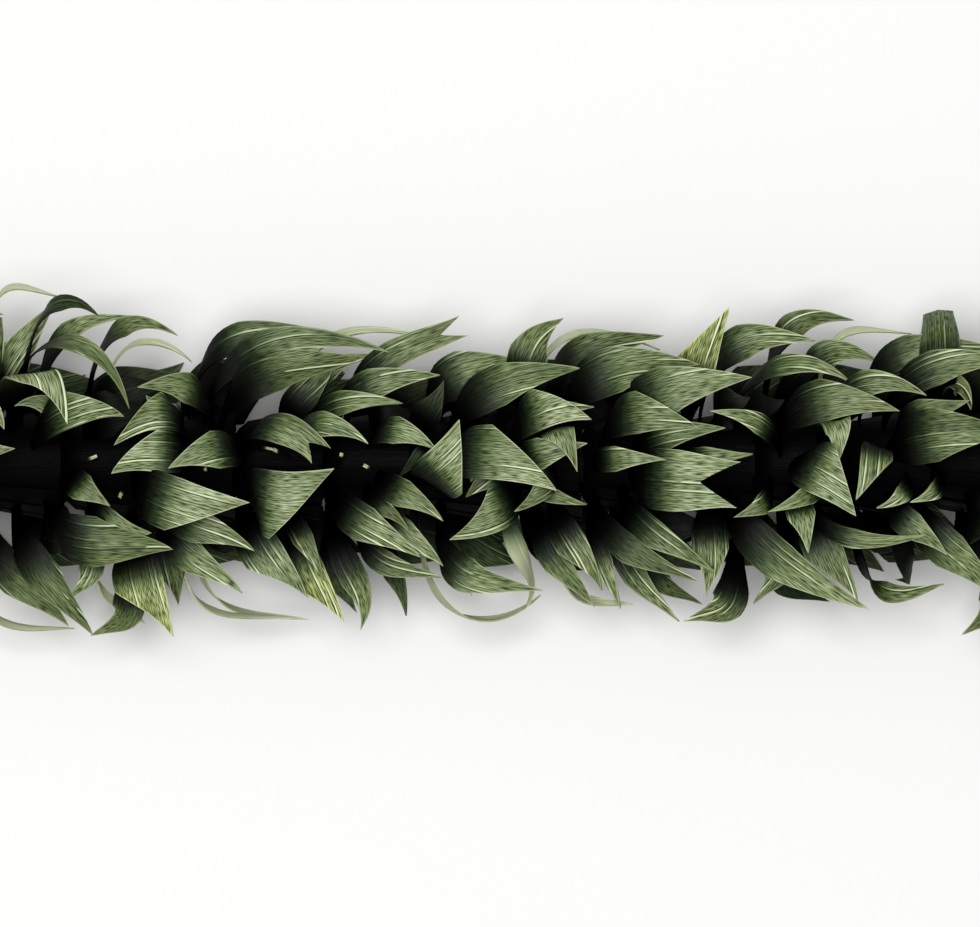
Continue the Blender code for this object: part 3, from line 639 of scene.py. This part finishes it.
# The cord: its strands and how far their middles lie from its own, its knots and its ends past them.
STRANDS = 3
STRAND_RADIUS = 1.2
STRAND_LAY = 1.05 * STRAND_RADIUS
STRAND_PITCH = 12.0
KNOT_POINTS = 60
KNOT_SCALE = 2.1
KNOT_END = 1.85
KNOT_SQUEEZE = 0.35
KNOT_REACH = 11.0
RUN_POINTS = 220
END_PAST_KNOT = 7.5
ROUNDINGS = 6
# Hemp fibres to a millimetre, along the cord and across it.
FIBRES_ALONG = 0.6
FIBRES_ACROSS = 2.6

# The pale streaks on a leaf: how far apart across and along it, and how far off each one's dark line is.
STREAK_GAP = 1.7
STREAK_SPACING = 130.0
STREAK_SHADOW = 0.36

# A leaf whose end is cut nearly square is drawn to a point at its very end, and is cupped so that it is seen
# as rounded.
BLUNT = 0.9
BLUNT_CUP = 0.36
# A leaf turned this far on its edge is seen as a pale strip: painted light, in the colour of a leaf's rim
# and a pale tint.
STRIP_ROLL = 40.0
STRIP_PAINTED_LIGHT_TINT = 0.82
# The tints of a leaf: greens at random up to here, then painted sunlight, yellower by this much for each step
# of light past 1.
GREENEST_TO = 0.8
PAINTED_SUNLIGHT_YELLOW = 0.6
# How strongly a leaf's streaks show.
STREAKED = (0.45, 1.0)
# How far from the cord, and how far along itself, a leaf is deep in the bunch and in the open.
DEEP = 10.0
OPEN = 28.0
SHADED_TO = 0.2
LIT_FROM = 0.68

# A Mix node's sockets share their names, so they go by their places.
FACTOR = 0
NUMBER_A, NUMBER_B = 2, 3
COLOUR_A, COLOUR_B = 6, 7
COLOUR_OUT = 2
MULTIPLY = {"data_type": "RGBA", "blend_type": "MULTIPLY"}

# The camera: the photo's millimetres across, how far it stands to the photo's top, and how high it hangs.
PHOTO_WIDTH = 272.2
PHOTO_SHIFT = 0.4
CAMERA_HEIGHT = 4000.0


def deselect_all():
    bpy.ops.object.select_all(action="DESELECT")


def select_only(*objects):
    deselect_all()
    for one in objects:
        one.select_set(True)
    bpy.context.view_layer.objects.active = objects[0]


def joined(name, pieces):
    """The pieces made one, with one mesh."""
    select_only(*pieces)
    bpy.ops.object.join()
    made = bpy.context.object
    made.name = name
    made.data.name = name
    return made


def finish_sheet(made, finishes, thickness):
    """Makes a sheet this thick. Its other side takes the second finish and its cut edge the third."""
    for finish in finishes:
        made.data.materials.append(finish)
    thick = made.modifiers.new("thickness", "SOLIDIFY")
    thick.thickness = thickness * MM
    thick.offset = 0.0
    if len(finishes) > 1:
        thick.material_offset = 1
        thick.material_offset_rim = 2
    bpy.ops.object.modifier_apply(modifier=thick.name)
    bpy.ops.object.shade_smooth_by_angle(angle=SMOOTH_BELOW)


def strip_blank(name, columns, rows, pointed=False):
    """A flat strip, -1 to 1 across and 0 to 1 along, with its far end drawn to a point or left square."""
    deselect_all()
    bpy.ops.mesh.primitive_grid_add(x_subdivisions=columns, y_subdivisions=rows, size=2.0)
    blank = bpy.context.object
    blank.name = name
    bpy.ops.object.mode_set(mode="EDIT")
    bpy.ops.transform.translate(value=(0.0, 1.0, 0.0))
    bpy.ops.transform.resize(value=(1.0, 0.5, 1.0), center_override=(0.0, 0.0, 0.0))
    bpy.ops.mesh.select_all(action="DESELECT")
    bpy.ops.object.mode_set(mode="OBJECT")
    if pointed:
        for vertex in blank.data.vertices:
            vertex.select = vertex.co.y > 0.999
        bpy.ops.object.mode_set(mode="EDIT")
        bpy.ops.mesh.select_mode(type="VERT")
        bpy.ops.mesh.merge(type="CENTER")
        bpy.ops.object.mode_set(mode="OBJECT")
    return blank


def copy_of(blank):
    """Another blank with its own mesh."""
    made = blank.copy()
    made.data = made.data.copy()
    bpy.context.scene.collection.objects.link(made)
    return made


def flat_points(mesh):
    """A blank's points as (side, along)."""
    flat = np.empty(len(mesh.vertices) * 3, np.float32)
    mesh.vertices.foreach_get("co", flat)
    flat = flat.reshape(-1, 3).astype(float)
    return flat[:, 0], flat[:, 1]


def set_points(mesh, points):
    """Moves a mesh's points, given in millimetres."""
    mesh.vertices.foreach_set("co", (points * MM).astype(np.float32).ravel())
    mesh.update()


def set_uv(mesh, across, along):
    """Lays the mesh's map out in millimetres, across and along the leaf."""
    corner = np.empty(len(mesh.loops), np.int32)
    mesh.loops.foreach_get("vertex_index", corner)
    layer = mesh.uv_layers[0]
    layer.name = "leaf_map"
    layer.uv.foreach_set("vector", np.stack([across[corner], along[corner]], 1).astype(np.float32).ravel())


def set_value(mesh, name, values):
    """Gives each point a number for the materials to read."""
    attribute = mesh.attributes.new(name, "FLOAT", "POINT")
    attribute.data.foreach_set("value", np.broadcast_to(values, len(mesh.vertices)).astype(np.float32))


def blade_sheet(blade, side, along):
    """The middle surface of a blade at each (side, along): points, normals and millimetres across it."""
    a, b, c, d = (np.array(point) for point in blade.points)
    t = along[:, None]
    rest = 1.0 - t
    place = a * rest**3 + b * (3 * rest**2 * t) + c * (3 * rest * t**2) + d * t**3
    ahead = (b - a) * rest**2 + (c - b) * (2 * rest * t) + (d - c) * t**2
    ahead /= np.linalg.norm(ahead, axis=1)[:, None]
    turned = eased(t / TURNED_AT)
    across = np.array(blade.start_across) * (1.0 - turned) + np.array(blade.end_across) * turned
    across -= ahead * (across * ahead).sum(axis=1)[:, None]
    across /= np.linalg.norm(across, axis=1)[:, None]
    half = blade.half_width(along)
    sideways = side * half + blade.leaf.skew * 0.5 * blade.leaf.width * (1.0 - blade.taper(along))
    return place + across * sideways[:, None], np.cross(ahead, across), sideways, half


def openness(points, along):
    """0 deep in the bunch at a root, 1 in the open."""
    out = np.hypot(points[:, 1], points[:, 2] - AXIS_HEIGHT)
    return eased((out - DEEP) / (OPEN - DEEP)) * eased((along - SHADED_TO) / (LIT_FROM - SHADED_TO))


def fine_leaf(leaf, blanks, draw):
    """One leaf: the blank bent along the leaf's centre line, cupped and a little rippled."""
    blade = Blade(leaf)
    is_blunt = leaf.fork > BLUNT
    if is_blunt:
        leaf = leaf._replace(fork=0.0)
    made = copy_of(blanks[bool(leaf.fork)])
    side, row = flat_points(made.data)
    cut_row = ROWS_TO_CUT / (ROWS_TO_CUT + ROWS_IN_CUT)
    past_cut = np.clip((row - cut_row) / (1.0 - cut_row), 0.0, 1.0)
    end = 1.0 - (1.0 - leaf.fork) * (1.0 - np.abs(side)) if leaf.fork else 1.0
    along = np.where(row < cut_row, row / cut_row * TAPER_AT, TAPER_AT + past_cut * (end - TAPER_AT))
    points, normals, sideways, half = blade_sheet(blade, side, along)
    length = (blade.points[3] - blade.points[0]).length * CURVE_OVER_CHORD
    cup = draw(*CUP_RANGE) * CUP
    if is_blunt:
        cup = BLUNT_CUP
    cup = cup * leaf.width * np.sin(np.pi * np.clip(along, 0.0, 1.0)) ** CUP_FULLNESS
    curl = cup * (CUP_LEVEL - side * side)
    phase = draw(0.0, 6.3)
    waves = along * draw(*RIPPLES) + phase + side * draw(-RIPPLE_SLANT, RIPPLE_SLANT)
    ripple = RIPPLE * np.sin(waves) * eased(along * 3.0)
    points += normals * (curl + ripple * 0.5 * (1.0 + np.abs(side)))[:, None]
    points[:, 2] = np.maximum(points[:, 2], LOWEST)
    set_points(made.data, points)
    set_uv(made.data, sideways + draw(*MAP_SHIFT), along * length + draw(*MAP_SHIFT))
    is_strip = leaf.roll > STRIP_ROLL
    # A strip is painted lit as soon as it is away from the cord.
    painted_light = openness(points, LIT_FROM if is_strip else along)
    set_value(made.data, "open", painted_light * min(1.0, leaf.light))
    # A sunlit leaf takes a pale yellow tint: painted light.
    if leaf.light > 1.0:
        tint = GREENEST_TO + PAINTED_SUNLIGHT_YELLOW * (leaf.light - 1.0)
    else:
        tint = draw(0.0, GREENEST_TO)
    # A strip's rim value is 0, so that it is painted all over in the pale rim colour, as painted light.
    set_value(made.data, "rim", (1.0 - np.abs(side)) * (0.0 if is_strip else half))
    set_value(made.data, "tint", STRIP_PAINTED_LIGHT_TINT if is_strip else tint)
    # A sunlit leaf's streaks are painted stronger: painted light.
    set_value(made.data, "pale", max(draw(*STREAKED), leaf.light - 0.3))
    return made


def fine_butts(bunch, blank, draw):
    """The leaves' butts, laid side by side round the cord: tied in at the waist and flared past it."""
    made = []
    for number in range(BUTTS):
        butt = copy_of(blank)
        side, along = flat_points(butt.data)
        start, end = collar_ends(bunch)
        x = start - BUTT_TUCK + along * (end + BUTT_TUCK - start + draw(*BUTT_PAST))
        waist = eased(along / WAIST_SHARE)
        radius = BUTT_WAIST + (COLLAR_NARROW - BUTT_WAIST) * waist + (COLLAR_WIDE - COLLAR_NARROW) * along
        radius = radius + BUTT_LAP * side + draw(-BUTT_SAG, 0.0) * along
        half = 0.5 * BUTT_OVERLAP * math.tau * radius / BUTTS
        turn = math.tau * number / BUTTS + side * half / radius + draw(-BUTT_SWAY, BUTT_SWAY) * along
        points = np.stack([x, radius * np.sin(turn), AXIS_HEIGHT + radius * np.cos(turn)], 1)
        set_points(butt.data, points)
        set_uv(butt.data, side * half + draw(*MAP_SHIFT), x + draw(*BUTT_MAP_SHIFT))
        # Painted shade: the butts are nearly black, lighter towards the strand's ends.
        set_value(butt.data, "open", BUTT_LIGHT + END_LIGHT * eased((np.abs(x) - END_FROM) / PITCH))
        set_value(butt.data, "rim", (1.0 - np.abs(side)) * half)
        set_value(butt.data, "tint", draw(0.0, GREENEST_TO))
        set_value(butt.data, "pale", 0.0)
        made.append(butt)
    return made


def fine_bunch(bunch, leaves, blanks, butt_blank, finishes):
    """A bunch of fine leaves with their bound butts, in place of the frame's bunch."""
    draw = random.Random(BUNCH_SEED + bunch).uniform
    pieces = [fine_leaf(leaf, blanks, draw) for leaf in leaves]
    pieces += fine_butts(bunch, butt_blank, draw)
    made = joined(f"ti_leaves_{bunch + 1:02d}", pieces)
    finish_sheet(made, finishes, LEAF_THICKNESS)
    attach(made, "root")
    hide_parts(f"leaf_bunch_{bunch + 1:02d}")


def ribbon(blank, middle, out, ahead, width, map_shift, painted_light):
    """A raffia ribbon along `middle` with its flat side to `out`. The last argument is how much light is
    painted on it: painted shade where it is low.
    """
    made = copy_of(blank)
    side, along = flat_points(made.data)
    across = np.cross(ahead, out)
    across /= np.linalg.norm(across, axis=1)[:, None]
    set_points(made.data, middle + across * (side * 0.5 * width)[:, None])
    set_uv(made.data, side * 0.5 * width + map_shift, along * RAFFIA_MAP_LENGTH)
    set_value(made.data, "open", painted_light)
    return made


def wound_ribbon(x, blank, draw):
    """The ribbon wound round the bound butts at x."""
    along = flat_points(blank.data)[1]
    angle = draw(0.0, math.tau) + along * (math.tau * RAFFIA_TURNS)
    spread = (along - 0.5) * LASHING_WIDTH + draw(-RAFFIA_LEAN, RAFFIA_LEAN) * np.sin(angle)
    radius = RAFFIA_RADIUS + RAFFIA_WAVE * np.sin(along * RAFFIA_WAVES)
    out = np.stack([0.0 * angle, np.sin(angle), np.cos(angle)], 1)
    ahead = np.stack([0.0 * angle, np.cos(angle), -np.sin(angle)], 1)
    middle = out * radius[:, None]
    middle[:, 0] = x + spread
    middle[:, 2] += AXIS_HEIGHT
    # The windings are painted dark as shade.
    return ribbon(blank, middle, out, ahead, RAFFIA_WIDTH, draw(*RAFFIA_MAP_SHIFT), RAFFIA_LIGHT)


def loose_end(x, end_x, end_y, blank, draw):
    """An end of the ribbon, from the binding at x up to end_x, end_y."""
    clock = math.atan2(end_y, TAIL_AIM)
    root = np.array([0.0, math.sin(clock), math.cos(clock)]) * LASHING_OUTER + (x, 0.0, AXIS_HEIGHT)
    away = np.array([end_x, end_y, AXIS_HEIGHT + draw(*TAIL_HEIGHTS)]) - root
    bend = np.array([draw(-TAIL_BEND, TAIL_BEND), draw(-TAIL_BEND, TAIL_BEND), draw(0, TAIL_ARCH)])
    turned = draw(-TAIL_TURN, TAIL_TURN)
    along = flat_points(blank.data)[1]
    t = along[:, None]
    middle = root + away * t + bend * np.sin(np.pi * t)
    ahead = away + bend * np.pi * np.cos(np.pi * t)
    out = np.tile([TAIL_LEAN, math.sin(turned), math.cos(turned)], (len(along), 1))
    # Painted shade: the tail is black up to near its end, where it fades into its own pale colour.
    painted_light = eased((along - TAIL_SHADED_TO) / TAIL_SHADE_FADE)
    return ribbon(blank, middle, out, ahead, draw(*TAIL_WIDTHS), draw(*RAFFIA_MAP_SHIFT), painted_light)


def lashing(number, blank, tail_blank, finish):
    """Raffia wound round the bound butts, with its ends left loose among the leaves."""
    draw = random.Random(LASHING_SEED + number).uniform
    x = (number - 0.5 * BUNCHES) * PITCH
    pieces = [wound_ribbon(x, blank, draw)]
    ends = [place for place in RAFFIA_ENDS if abs(place[0] - x) < RAFFIA_END_REACH]
    for end_x, end_y in ends or [(x + draw(-TAIL_ALONG, TAIL_ALONG), draw(-TAIL_ASIDE, TAIL_ASIDE))]:
        pieces.append(loose_end(x, end_x, end_y, tail_blank, draw))
    made = joined(f"raffia_{number + 1:02d}", pieces)
    finish_sheet(made, [finish], RAFFIA_THICKNESS)
    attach(made, "root")
    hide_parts(f"lashing_{number + 1:02d}")


def cord_line():
    """The cord's middle line: an overhand knot at each end and the straight run between."""
    reach = 0.5 * BUNCHES * PITCH + CORD_OVERHANG
    turns = np.linspace(-KNOT_END, KNOT_END, KNOT_POINTS)[::-1]
    knot = KNOT_SCALE * np.stack(
        [KNOT_SQUEEZE * (10.0 * turns - turns**5), turns**3 - 3.0 * turns, turns**4 - 4.0 * turns**2 + 2.0], 1
    )
    run = np.linspace(KNOT_REACH - reach, reach - KNOT_REACH, RUN_POINTS)
    straight = np.stack([run, 0.0 * run, 0.0 * run], 1)
    start = [(-reach - END_PAST_KNOT, 0.0, 0.0)]
    end = [(reach + END_PAST_KNOT, 0.0, 0.0)]
    line = np.concatenate([start, knot - (reach, 0.0, 0.0), straight, knot + (reach, 0.0, 0.0), end])
    return line + (0.0, 0.0, AXIS_HEIGHT)


def even_line(line, step):
    """The same line with its points `step` apart, its corners rounded off."""
    for _ in range(ROUNDINGS):
        line[1:-1] = 0.25 * line[:-2] + 0.5 * line[1:-1] + 0.25 * line[2:]
    gaps = np.linalg.norm(np.diff(line, axis=0), axis=1)
    run = np.concatenate([[0.0], np.cumsum(gaps)])
    at = np.arange(0.0, run[-1], step)
    return np.stack([np.interp(at, run, line[:, axis]) for axis in range(3)], 1), at


def laid_cord(finish):
    """Strands laid round each other, knotted at both ends."""
    line, run = even_line(cord_line(), 1.0)
    ahead = np.gradient(line, axis=0)
    ahead /= np.linalg.norm(ahead, axis=1)[:, None]
    side = np.array([0.0, 1.0, 0.0])
    sides = []
    for direction in ahead:
        side = side - direction * (side @ direction)
        side = side / np.linalg.norm(side)
        sides.append(side)
    sides = np.array(sides)
    ups = np.cross(ahead, sides)
    strands = []
    for strand in range(STRANDS):
        angle = run / STRAND_PITCH * math.tau + strand * math.tau / STRANDS
        path = line + STRAND_LAY * (sides * np.cos(angle)[:, None] + ups * np.sin(angle)[:, None])
        curve = bpy.data.curves.new("strand", "CURVE")
        curve.dimensions = "3D"
        curve.bevel_depth = STRAND_RADIUS * MM
        curve.bevel_resolution = 2
        curve.use_fill_caps = True
        spline = curve.splines.new("POLY")
        spline.points.add(len(path) - 1)
        spline.points.foreach_set("co", np.concatenate([path * MM, np.ones((len(path), 1))], 1).ravel())
        strand_object = bpy.data.objects.new("strand", curve)
        bpy.context.scene.collection.objects.link(strand_object)
        strands.append(strand_object)
    select_only(*strands)
    bpy.ops.object.convert(target="MESH")
    made = joined("laid_cord", strands)
    bpy.ops.object.mode_set(mode="EDIT")
    bpy.ops.mesh.select_all(action="SELECT")
    bpy.ops.mesh.remove_doubles(threshold=0.00001)
    bpy.ops.mesh.normals_make_consistent(inside=False)
    bpy.ops.object.mode_set(mode="OBJECT")
    made.data.materials.clear()
    made.data.materials.append(finish)
    bpy.ops.object.shade_smooth_by_angle(angle=SMOOTH_BELOW)
    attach(made, "root")
    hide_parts("core_cord")


def colour(hex_code):
    """An sRGB hex colour as linear red, green, blue and alpha."""
    channels = []
    for start in (0, 2, 4):
        value = int(hex_code[start : start + 2], 16) / 255.0
        channels.append(value / 12.92 if value <= 0.04045 else ((value + 0.055) / 1.055) ** 2.4)
    return (*channels, 1.0)


def new_material(name):
    """A material with its node tree and its surface shader."""
    made = bpy.data.materials.new(name)
    made.use_nodes = True
    return made, made.node_tree, made.node_tree.nodes["Principled BSDF"]


def fill_sockets(tree, node, links, values):
    """Joins some of a node's sockets to their sources and gives others their values."""
    for socket, value in dict(values).items():
        node.inputs[socket].default_value = value
    for socket, source in dict(links).items():
        tree.links.new(source, node.inputs[socket])


def add_node(tree, kind, links=(), values=(), stops=(), **settings):
    """Adds a node with its settings, values and links, and a ramp's (place, hex) stops."""
    node = tree.nodes.new(kind)
    for setting, value in settings.items():
        setattr(node, setting, value)
    fill_sockets(tree, node, links, values)
    if stops:
        elements = node.color_ramp.elements
        while len(elements) < len(stops):
            elements.new(1.0)
        for element, (place, code) in zip(elements, stops):
            element.position = place
            element.color = colour(code)
    return node


def leaf_place(tree, across_mm, along_mm, shift_mm=0.0):
    """The place on the leaf's own map, counted in steps this wide and this long."""
    place = add_node(tree, "ShaderNodeUVMap", uv_map="leaf_map").outputs["UV"]
    sizes = {"Scale": (1.0 / across_mm, 1.0 / along_mm, 1.0), "Location": (shift_mm / across_mm, 0.0, 0.0)}
    return add_node(tree, "ShaderNodeMapping", {"Vector": place}, sizes).outputs["Vector"]


def vein_noise(tree, across_mm, along_mm, detail=1.0):
    """A grey pattern on the leaf's own map whose marks are this wide and this long."""
    place = leaf_place(tree, across_mm, along_mm)
    return add_node(
        tree, "ShaderNodeTexNoise", {"Vector": place}, {"Scale": 1.0, "Detail": detail}, noise_dimensions="2D"
    ).outputs["Fac"]


def deep_shade(tree, base):
    """The colour darkened by how deep in the bunch the point lies."""
    value = add_node(tree, "ShaderNodeAttribute", attribute_name="open").outputs["Fac"]
    dark = (0.0, "000000"), (0.2, "070a06"), (0.4, "212b21")
    light = (0.62, "53614c"), (0.82, "a8b39d"), (1.0, "ebede8")
    shade = add_node(tree, "ShaderNodeValToRGB", {"Fac": value}, stops=dark + light).outputs["Color"]
    return add_node(
        tree, "ShaderNodeMix", {COLOUR_A: base, COLOUR_B: shade}, {FACTOR: 1.0}, **MULTIPLY
    ).outputs[COLOUR_OUT]


def leaf_material(name, ground, streak, rim, streak_share):
    """Preserved ti leaf, dyed and softened: satin, with close parallel veins a quarter of a millimetre
    wide, a few pale streaks beside dark ones, pale edges, and painted shade that darkens it deep in the bunch
    towards its root."""
    made, tree, surface = new_material(name)
    lines = vein_noise(tree, 0.26, 60.0, 0.0)
    dashes = vein_noise(tree, 0.24, 3.2, 0.0)
    mottle = vein_noise(tree, 5.0, 16.0, 2.0)
    sheen = vein_noise(tree, 6.0, 34.0)
    both = {NUMBER_A: lines, NUMBER_B: dashes}
    veins = add_node(tree, "ShaderNodeMix", both, {FACTOR: 0.55}, data_type="FLOAT").outputs[0]
    base = add_node(tree, "ShaderNodeValToRGB", {"Fac": veins}, stops=ground).outputs["Color"]
    streaks = []
    for shift in (0.0, STREAK_SHADOW):
        place = leaf_place(tree, STREAK_GAP, STREAK_SPACING, shift)
        cells = add_node(
            tree, "ShaderNodeTexVoronoi", {"Vector": place}, {"Scale": 1.0}, voronoi_dimensions="2D"
        )
        streaks.append(cells.outputs["Distance"])
    for pattern, stops in (
        (streaks[1], ((0.1, "6b7844"), (0.13, "ffffff"))),
        (dashes, ((0.25, "a7b385"), (0.33, "ffffff"))),
        (sheen, ((0.3, "c8d0bc"), (0.6, "ffffff"))),
    ):
        dark = add_node(tree, "ShaderNodeValToRGB", {"Fac": pattern}, stops=stops).outputs["Color"]
        base = add_node(
            tree, "ShaderNodeMix", {COLOUR_A: base, COLOUR_B: dark}, {FACTOR: 1.0}, **MULTIPLY
        ).outputs[COLOUR_OUT]
    # The attribute says how many millimetres away the leaf's edge is.
    edge = add_node(tree, "ShaderNodeAttribute", attribute_name="rim").outputs["Fac"]
    fading = {"From Min": 0.08, "From Max": 0.4, "To Min": 0.7, "To Max": 0.0}
    edge = add_node(tree, "ShaderNodeMapRange", {"Value": edge}, fading).outputs["Result"]
    base = add_node(
        tree, "ShaderNodeMix", {FACTOR: edge, COLOUR_A: base}, {COLOUR_B: colour(rim)}, data_type="RGBA"
    ).outputs[COLOUR_OUT]
    tint = add_node(tree, "ShaderNodeAttribute", attribute_name="tint").outputs["Fac"]
    # Tints from 0.82 up are painted light: on pale strips and on sunlit leaves.
    hues = (0.0, "a8ae8c"), (0.35, "bfc5a8"), (0.78, "d9dcc8"), (0.82, "ececdf"), (1.0, "fffac4")
    hue = add_node(tree, "ShaderNodeValToRGB", {"Fac": tint}, stops=hues).outputs["Color"]
    base = add_node(
        tree, "ShaderNodeMix", {COLOUR_A: base, COLOUR_B: hue}, {FACTOR: 1.0}, **MULTIPLY
    ).outputs[COLOUR_OUT]
    # The pale colour shows only on a streak, and only where the mottle is high.
    amount = add_node(tree, "ShaderNodeAttribute", attribute_name="pale").outputs["Fac"]
    for pattern, start, end in ((streaks[0], 0.14, 0.11), (mottle, 0.3, 0.34)):
        amount = add_node(
            tree,
            "ShaderNodeMapRange",
            {"Value": pattern, "To Max": amount},
            {"From Min": start, "From Max": end, "To Min": 0.0},
        ).outputs["Result"]
    share = {1: streak_share}
    amount = add_node(tree, "ShaderNodeMath", {0: amount}, share, operation="MULTIPLY").outputs["Value"]
    base = add_node(
        tree, "ShaderNodeMix", {FACTOR: amount, COLOUR_A: base}, {COLOUR_B: colour(streak)}, data_type="RGBA"
    ).outputs[COLOUR_OUT]
    satin = {"From Min": 0.3, "From Max": 0.7, "To Min": 0.62, "To Max": 0.46}
    rough = add_node(tree, "ShaderNodeMapRange", {"Value": veins}, satin)
    bump = add_node(tree, "ShaderNodeBump", {"Height": veins}, {"Strength": 0.6, "Distance": 0.14 * MM})
    # Less shine where the painted shade is deep.
    painted_light = add_node(tree, "ShaderNodeAttribute", attribute_name="open").outputs["Fac"]
    shine = add_node(tree, "ShaderNodeMath", {0: painted_light}, {1: 0.32}, operation="MULTIPLY")
    links = {
        "Base Color": deep_shade(tree, base),
        "Roughness": rough.outputs["Result"],
        "Normal": bump.outputs["Normal"],
        "Specular IOR Level": shine.outputs["Value"],
    }
    fill_sockets(tree, surface, links, {"IOR": 1.45})
    return made


def raffia_material():
    """Raffia: a dry, pale palm strip with fine fibres along it."""
    made, tree, surface = new_material("dry_raffia")
    fibres = vein_noise(tree, 0.3, 9.0, 2.0)
    straw = (0.35, "8f8663"), (0.5, "b5ad88"), (0.65, "d6d0b0")
    base = add_node(tree, "ShaderNodeValToRGB", {"Fac": fibres}, stops=straw).outputs["Color"]
    bump = add_node(tree, "ShaderNodeBump", {"Height": fibres}, {"Strength": 0.5, "Distance": 0.1 * MM})
    # Its colour is darkened by painted shade where it lies deep in the bunch.
    links = {"Base Color": deep_shade(tree, base), "Normal": bump.outputs["Normal"]}
    fill_sockets(tree, surface, links, {"Roughness": 0.6, "Specular IOR Level": 0.05})
    return made


def cord_material():
    """Laid hemp: matt, with fibres along each strand."""
    made, tree, surface = new_material("laid_hemp")
    place = add_node(tree, "ShaderNodeTexCoord")
    across = FIBRES_ACROSS / MM
    scale = (FIBRES_ALONG / MM, across, across)
    sized = add_node(tree, "ShaderNodeMapping", {"Vector": place.outputs["Object"]}, {"Scale": scale})
    fibres = add_node(
        tree, "ShaderNodeTexNoise", {"Vector": sized.outputs["Vector"]}, {"Scale": 1.0, "Detail": 3.0}
    ).outputs["Fac"]
    hemp = (0.3, "5d4a2f"), (0.5, "8d7449"), (0.7, "b79d6c")
    base = add_node(tree, "ShaderNodeValToRGB", {"Fac": fibres}, stops=hemp).outputs["Color"]
    bump = add_node(tree, "ShaderNodeBump", {"Height": fibres}, {"Strength": 0.8, "Distance": 0.3 * MM})
    links = {"Base Color": base, "Normal": bump.outputs["Normal"]}
    fill_sockets(tree, surface, links, {"Roughness": 0.85})
    return made


def floor():
    """A matt white board, set a hair below the leaves that lie on it."""
    deselect_all()
    bpy.ops.mesh.primitive_plane_add(size=8.0, location=(0.0, 0.0, -0.0002))
    made = bpy.context.object
    made.name = "floor"
    finish, tree, surface = new_material("matt_white_board")
    values = {"Base Color": colour("dededc"), "Roughness": 0.9, "Specular IOR Level": 0.1}
    fill_sockets(tree, surface, (), values)
    made.data.materials.append(finish)


def look_at(made, target):
    """Turns a light to face a place."""
    made.rotation_euler = (Vector(target) - made.location).to_track_quat("-Z", "Y").to_euler()


def studio():
    """Soft light from above and a little to the photo's top left, with an even pale surround."""
    world = bpy.data.worlds.new("studio")
    bpy.context.scene.world = world
    world.use_nodes = True
    background = world.node_tree.nodes["Background"]
    fill_sockets(world.node_tree, background, (), {"Color": colour("ffffff"), "Strength": 0.4})
    light = bpy.data.lights.new("softbox", "AREA")
    light.shape = "DISK"
    light.size = 1.5
    light.energy = 58.0
    softbox = bpy.data.objects.new("softbox", light)
    softbox.location = (-0.25, 0.12, 2.3)
    look_at(softbox, (0.0, 0.0, 0.03))
    bpy.context.scene.collection.objects.link(softbox)
    bpy.context.scene.view_settings.view_transform = "Standard"


def photo_camera():
    """A long lens straight above the strand, as the photo was taken."""
    lens = bpy.data.cameras.new("photo_camera")
    camera = bpy.data.objects.new("photo_camera", lens)
    bpy.context.scene.collection.objects.link(camera)
    lens.sensor_width = 36.0
    lens.lens = lens.sensor_width * CAMERA_HEIGHT / PHOTO_WIDTH
    camera.location = (0.0, PHOTO_SHIFT * MM, (AXIS_HEIGHT + CAMERA_HEIGHT) * MM)
    bpy.context.scene.camera = camera


def main():
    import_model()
    photo_camera()
    studio()
    floor()
    # A blank strip's own side comes to lie underneath, so the leaf's back is named first. It is greyer
    # than the face and its streaks are faint. The cut edge is plain.
    finishes = (
        leaf_material(
            "preserved_ti_leaf_back",
            ((0.36, "5d6950"), (0.46, "808c6c"), (0.54, "98a387"), (0.64, "b7c0a8")),
            "d6dec6",
            "c9d1b8",
            0.4,
        ),
        leaf_material(
            "preserved_ti_leaf_face",
            ((0.34, "515e32"), (0.43, "78855a"), (0.5, "909c78"), (0.57, "a4b08d"), (0.67, "c2cdb1")),
            "d9e3ba",
            "dae0c9",
            1.0,
        ),
        leaf_material("ti_leaf_cut_edge", ((0.3, "7f8a64"), (0.7, "b6bf99")), "ccd5b3", "b0bb90", 0.5),
    )
    raffia = raffia_material()
    blanks = (
        strip_blank("pointed_blank", COLUMNS, ROWS_TO_CUT + ROWS_IN_CUT, pointed=True),
        strip_blank("forked_blank", COLUMNS, ROWS_TO_CUT + ROWS_IN_CUT),
    )
    butt_blank = strip_blank("butt_blank", columns=4, rows=10)
    ribbon_blank = strip_blank("ribbon_blank", columns=2, rows=110)
    tail_blank = strip_blank("tail_blank", columns=2, rows=10)
    leaves = lay_out()
    for bunch in range(BUNCHES):
        mine = [placed.leaf for placed in leaves if placed.bunch == bunch]
        fine_bunch(bunch, mine, blanks, butt_blank, finishes)
    for number in range(BUNCHES + 1):
        lashing(number, ribbon_blank, tail_blank, raffia)
    laid_cord(cord_material())
    for blank in (*blanks, butt_blank, ribbon_blank, tail_blank):
        bpy.data.objects.remove(blank)


main()
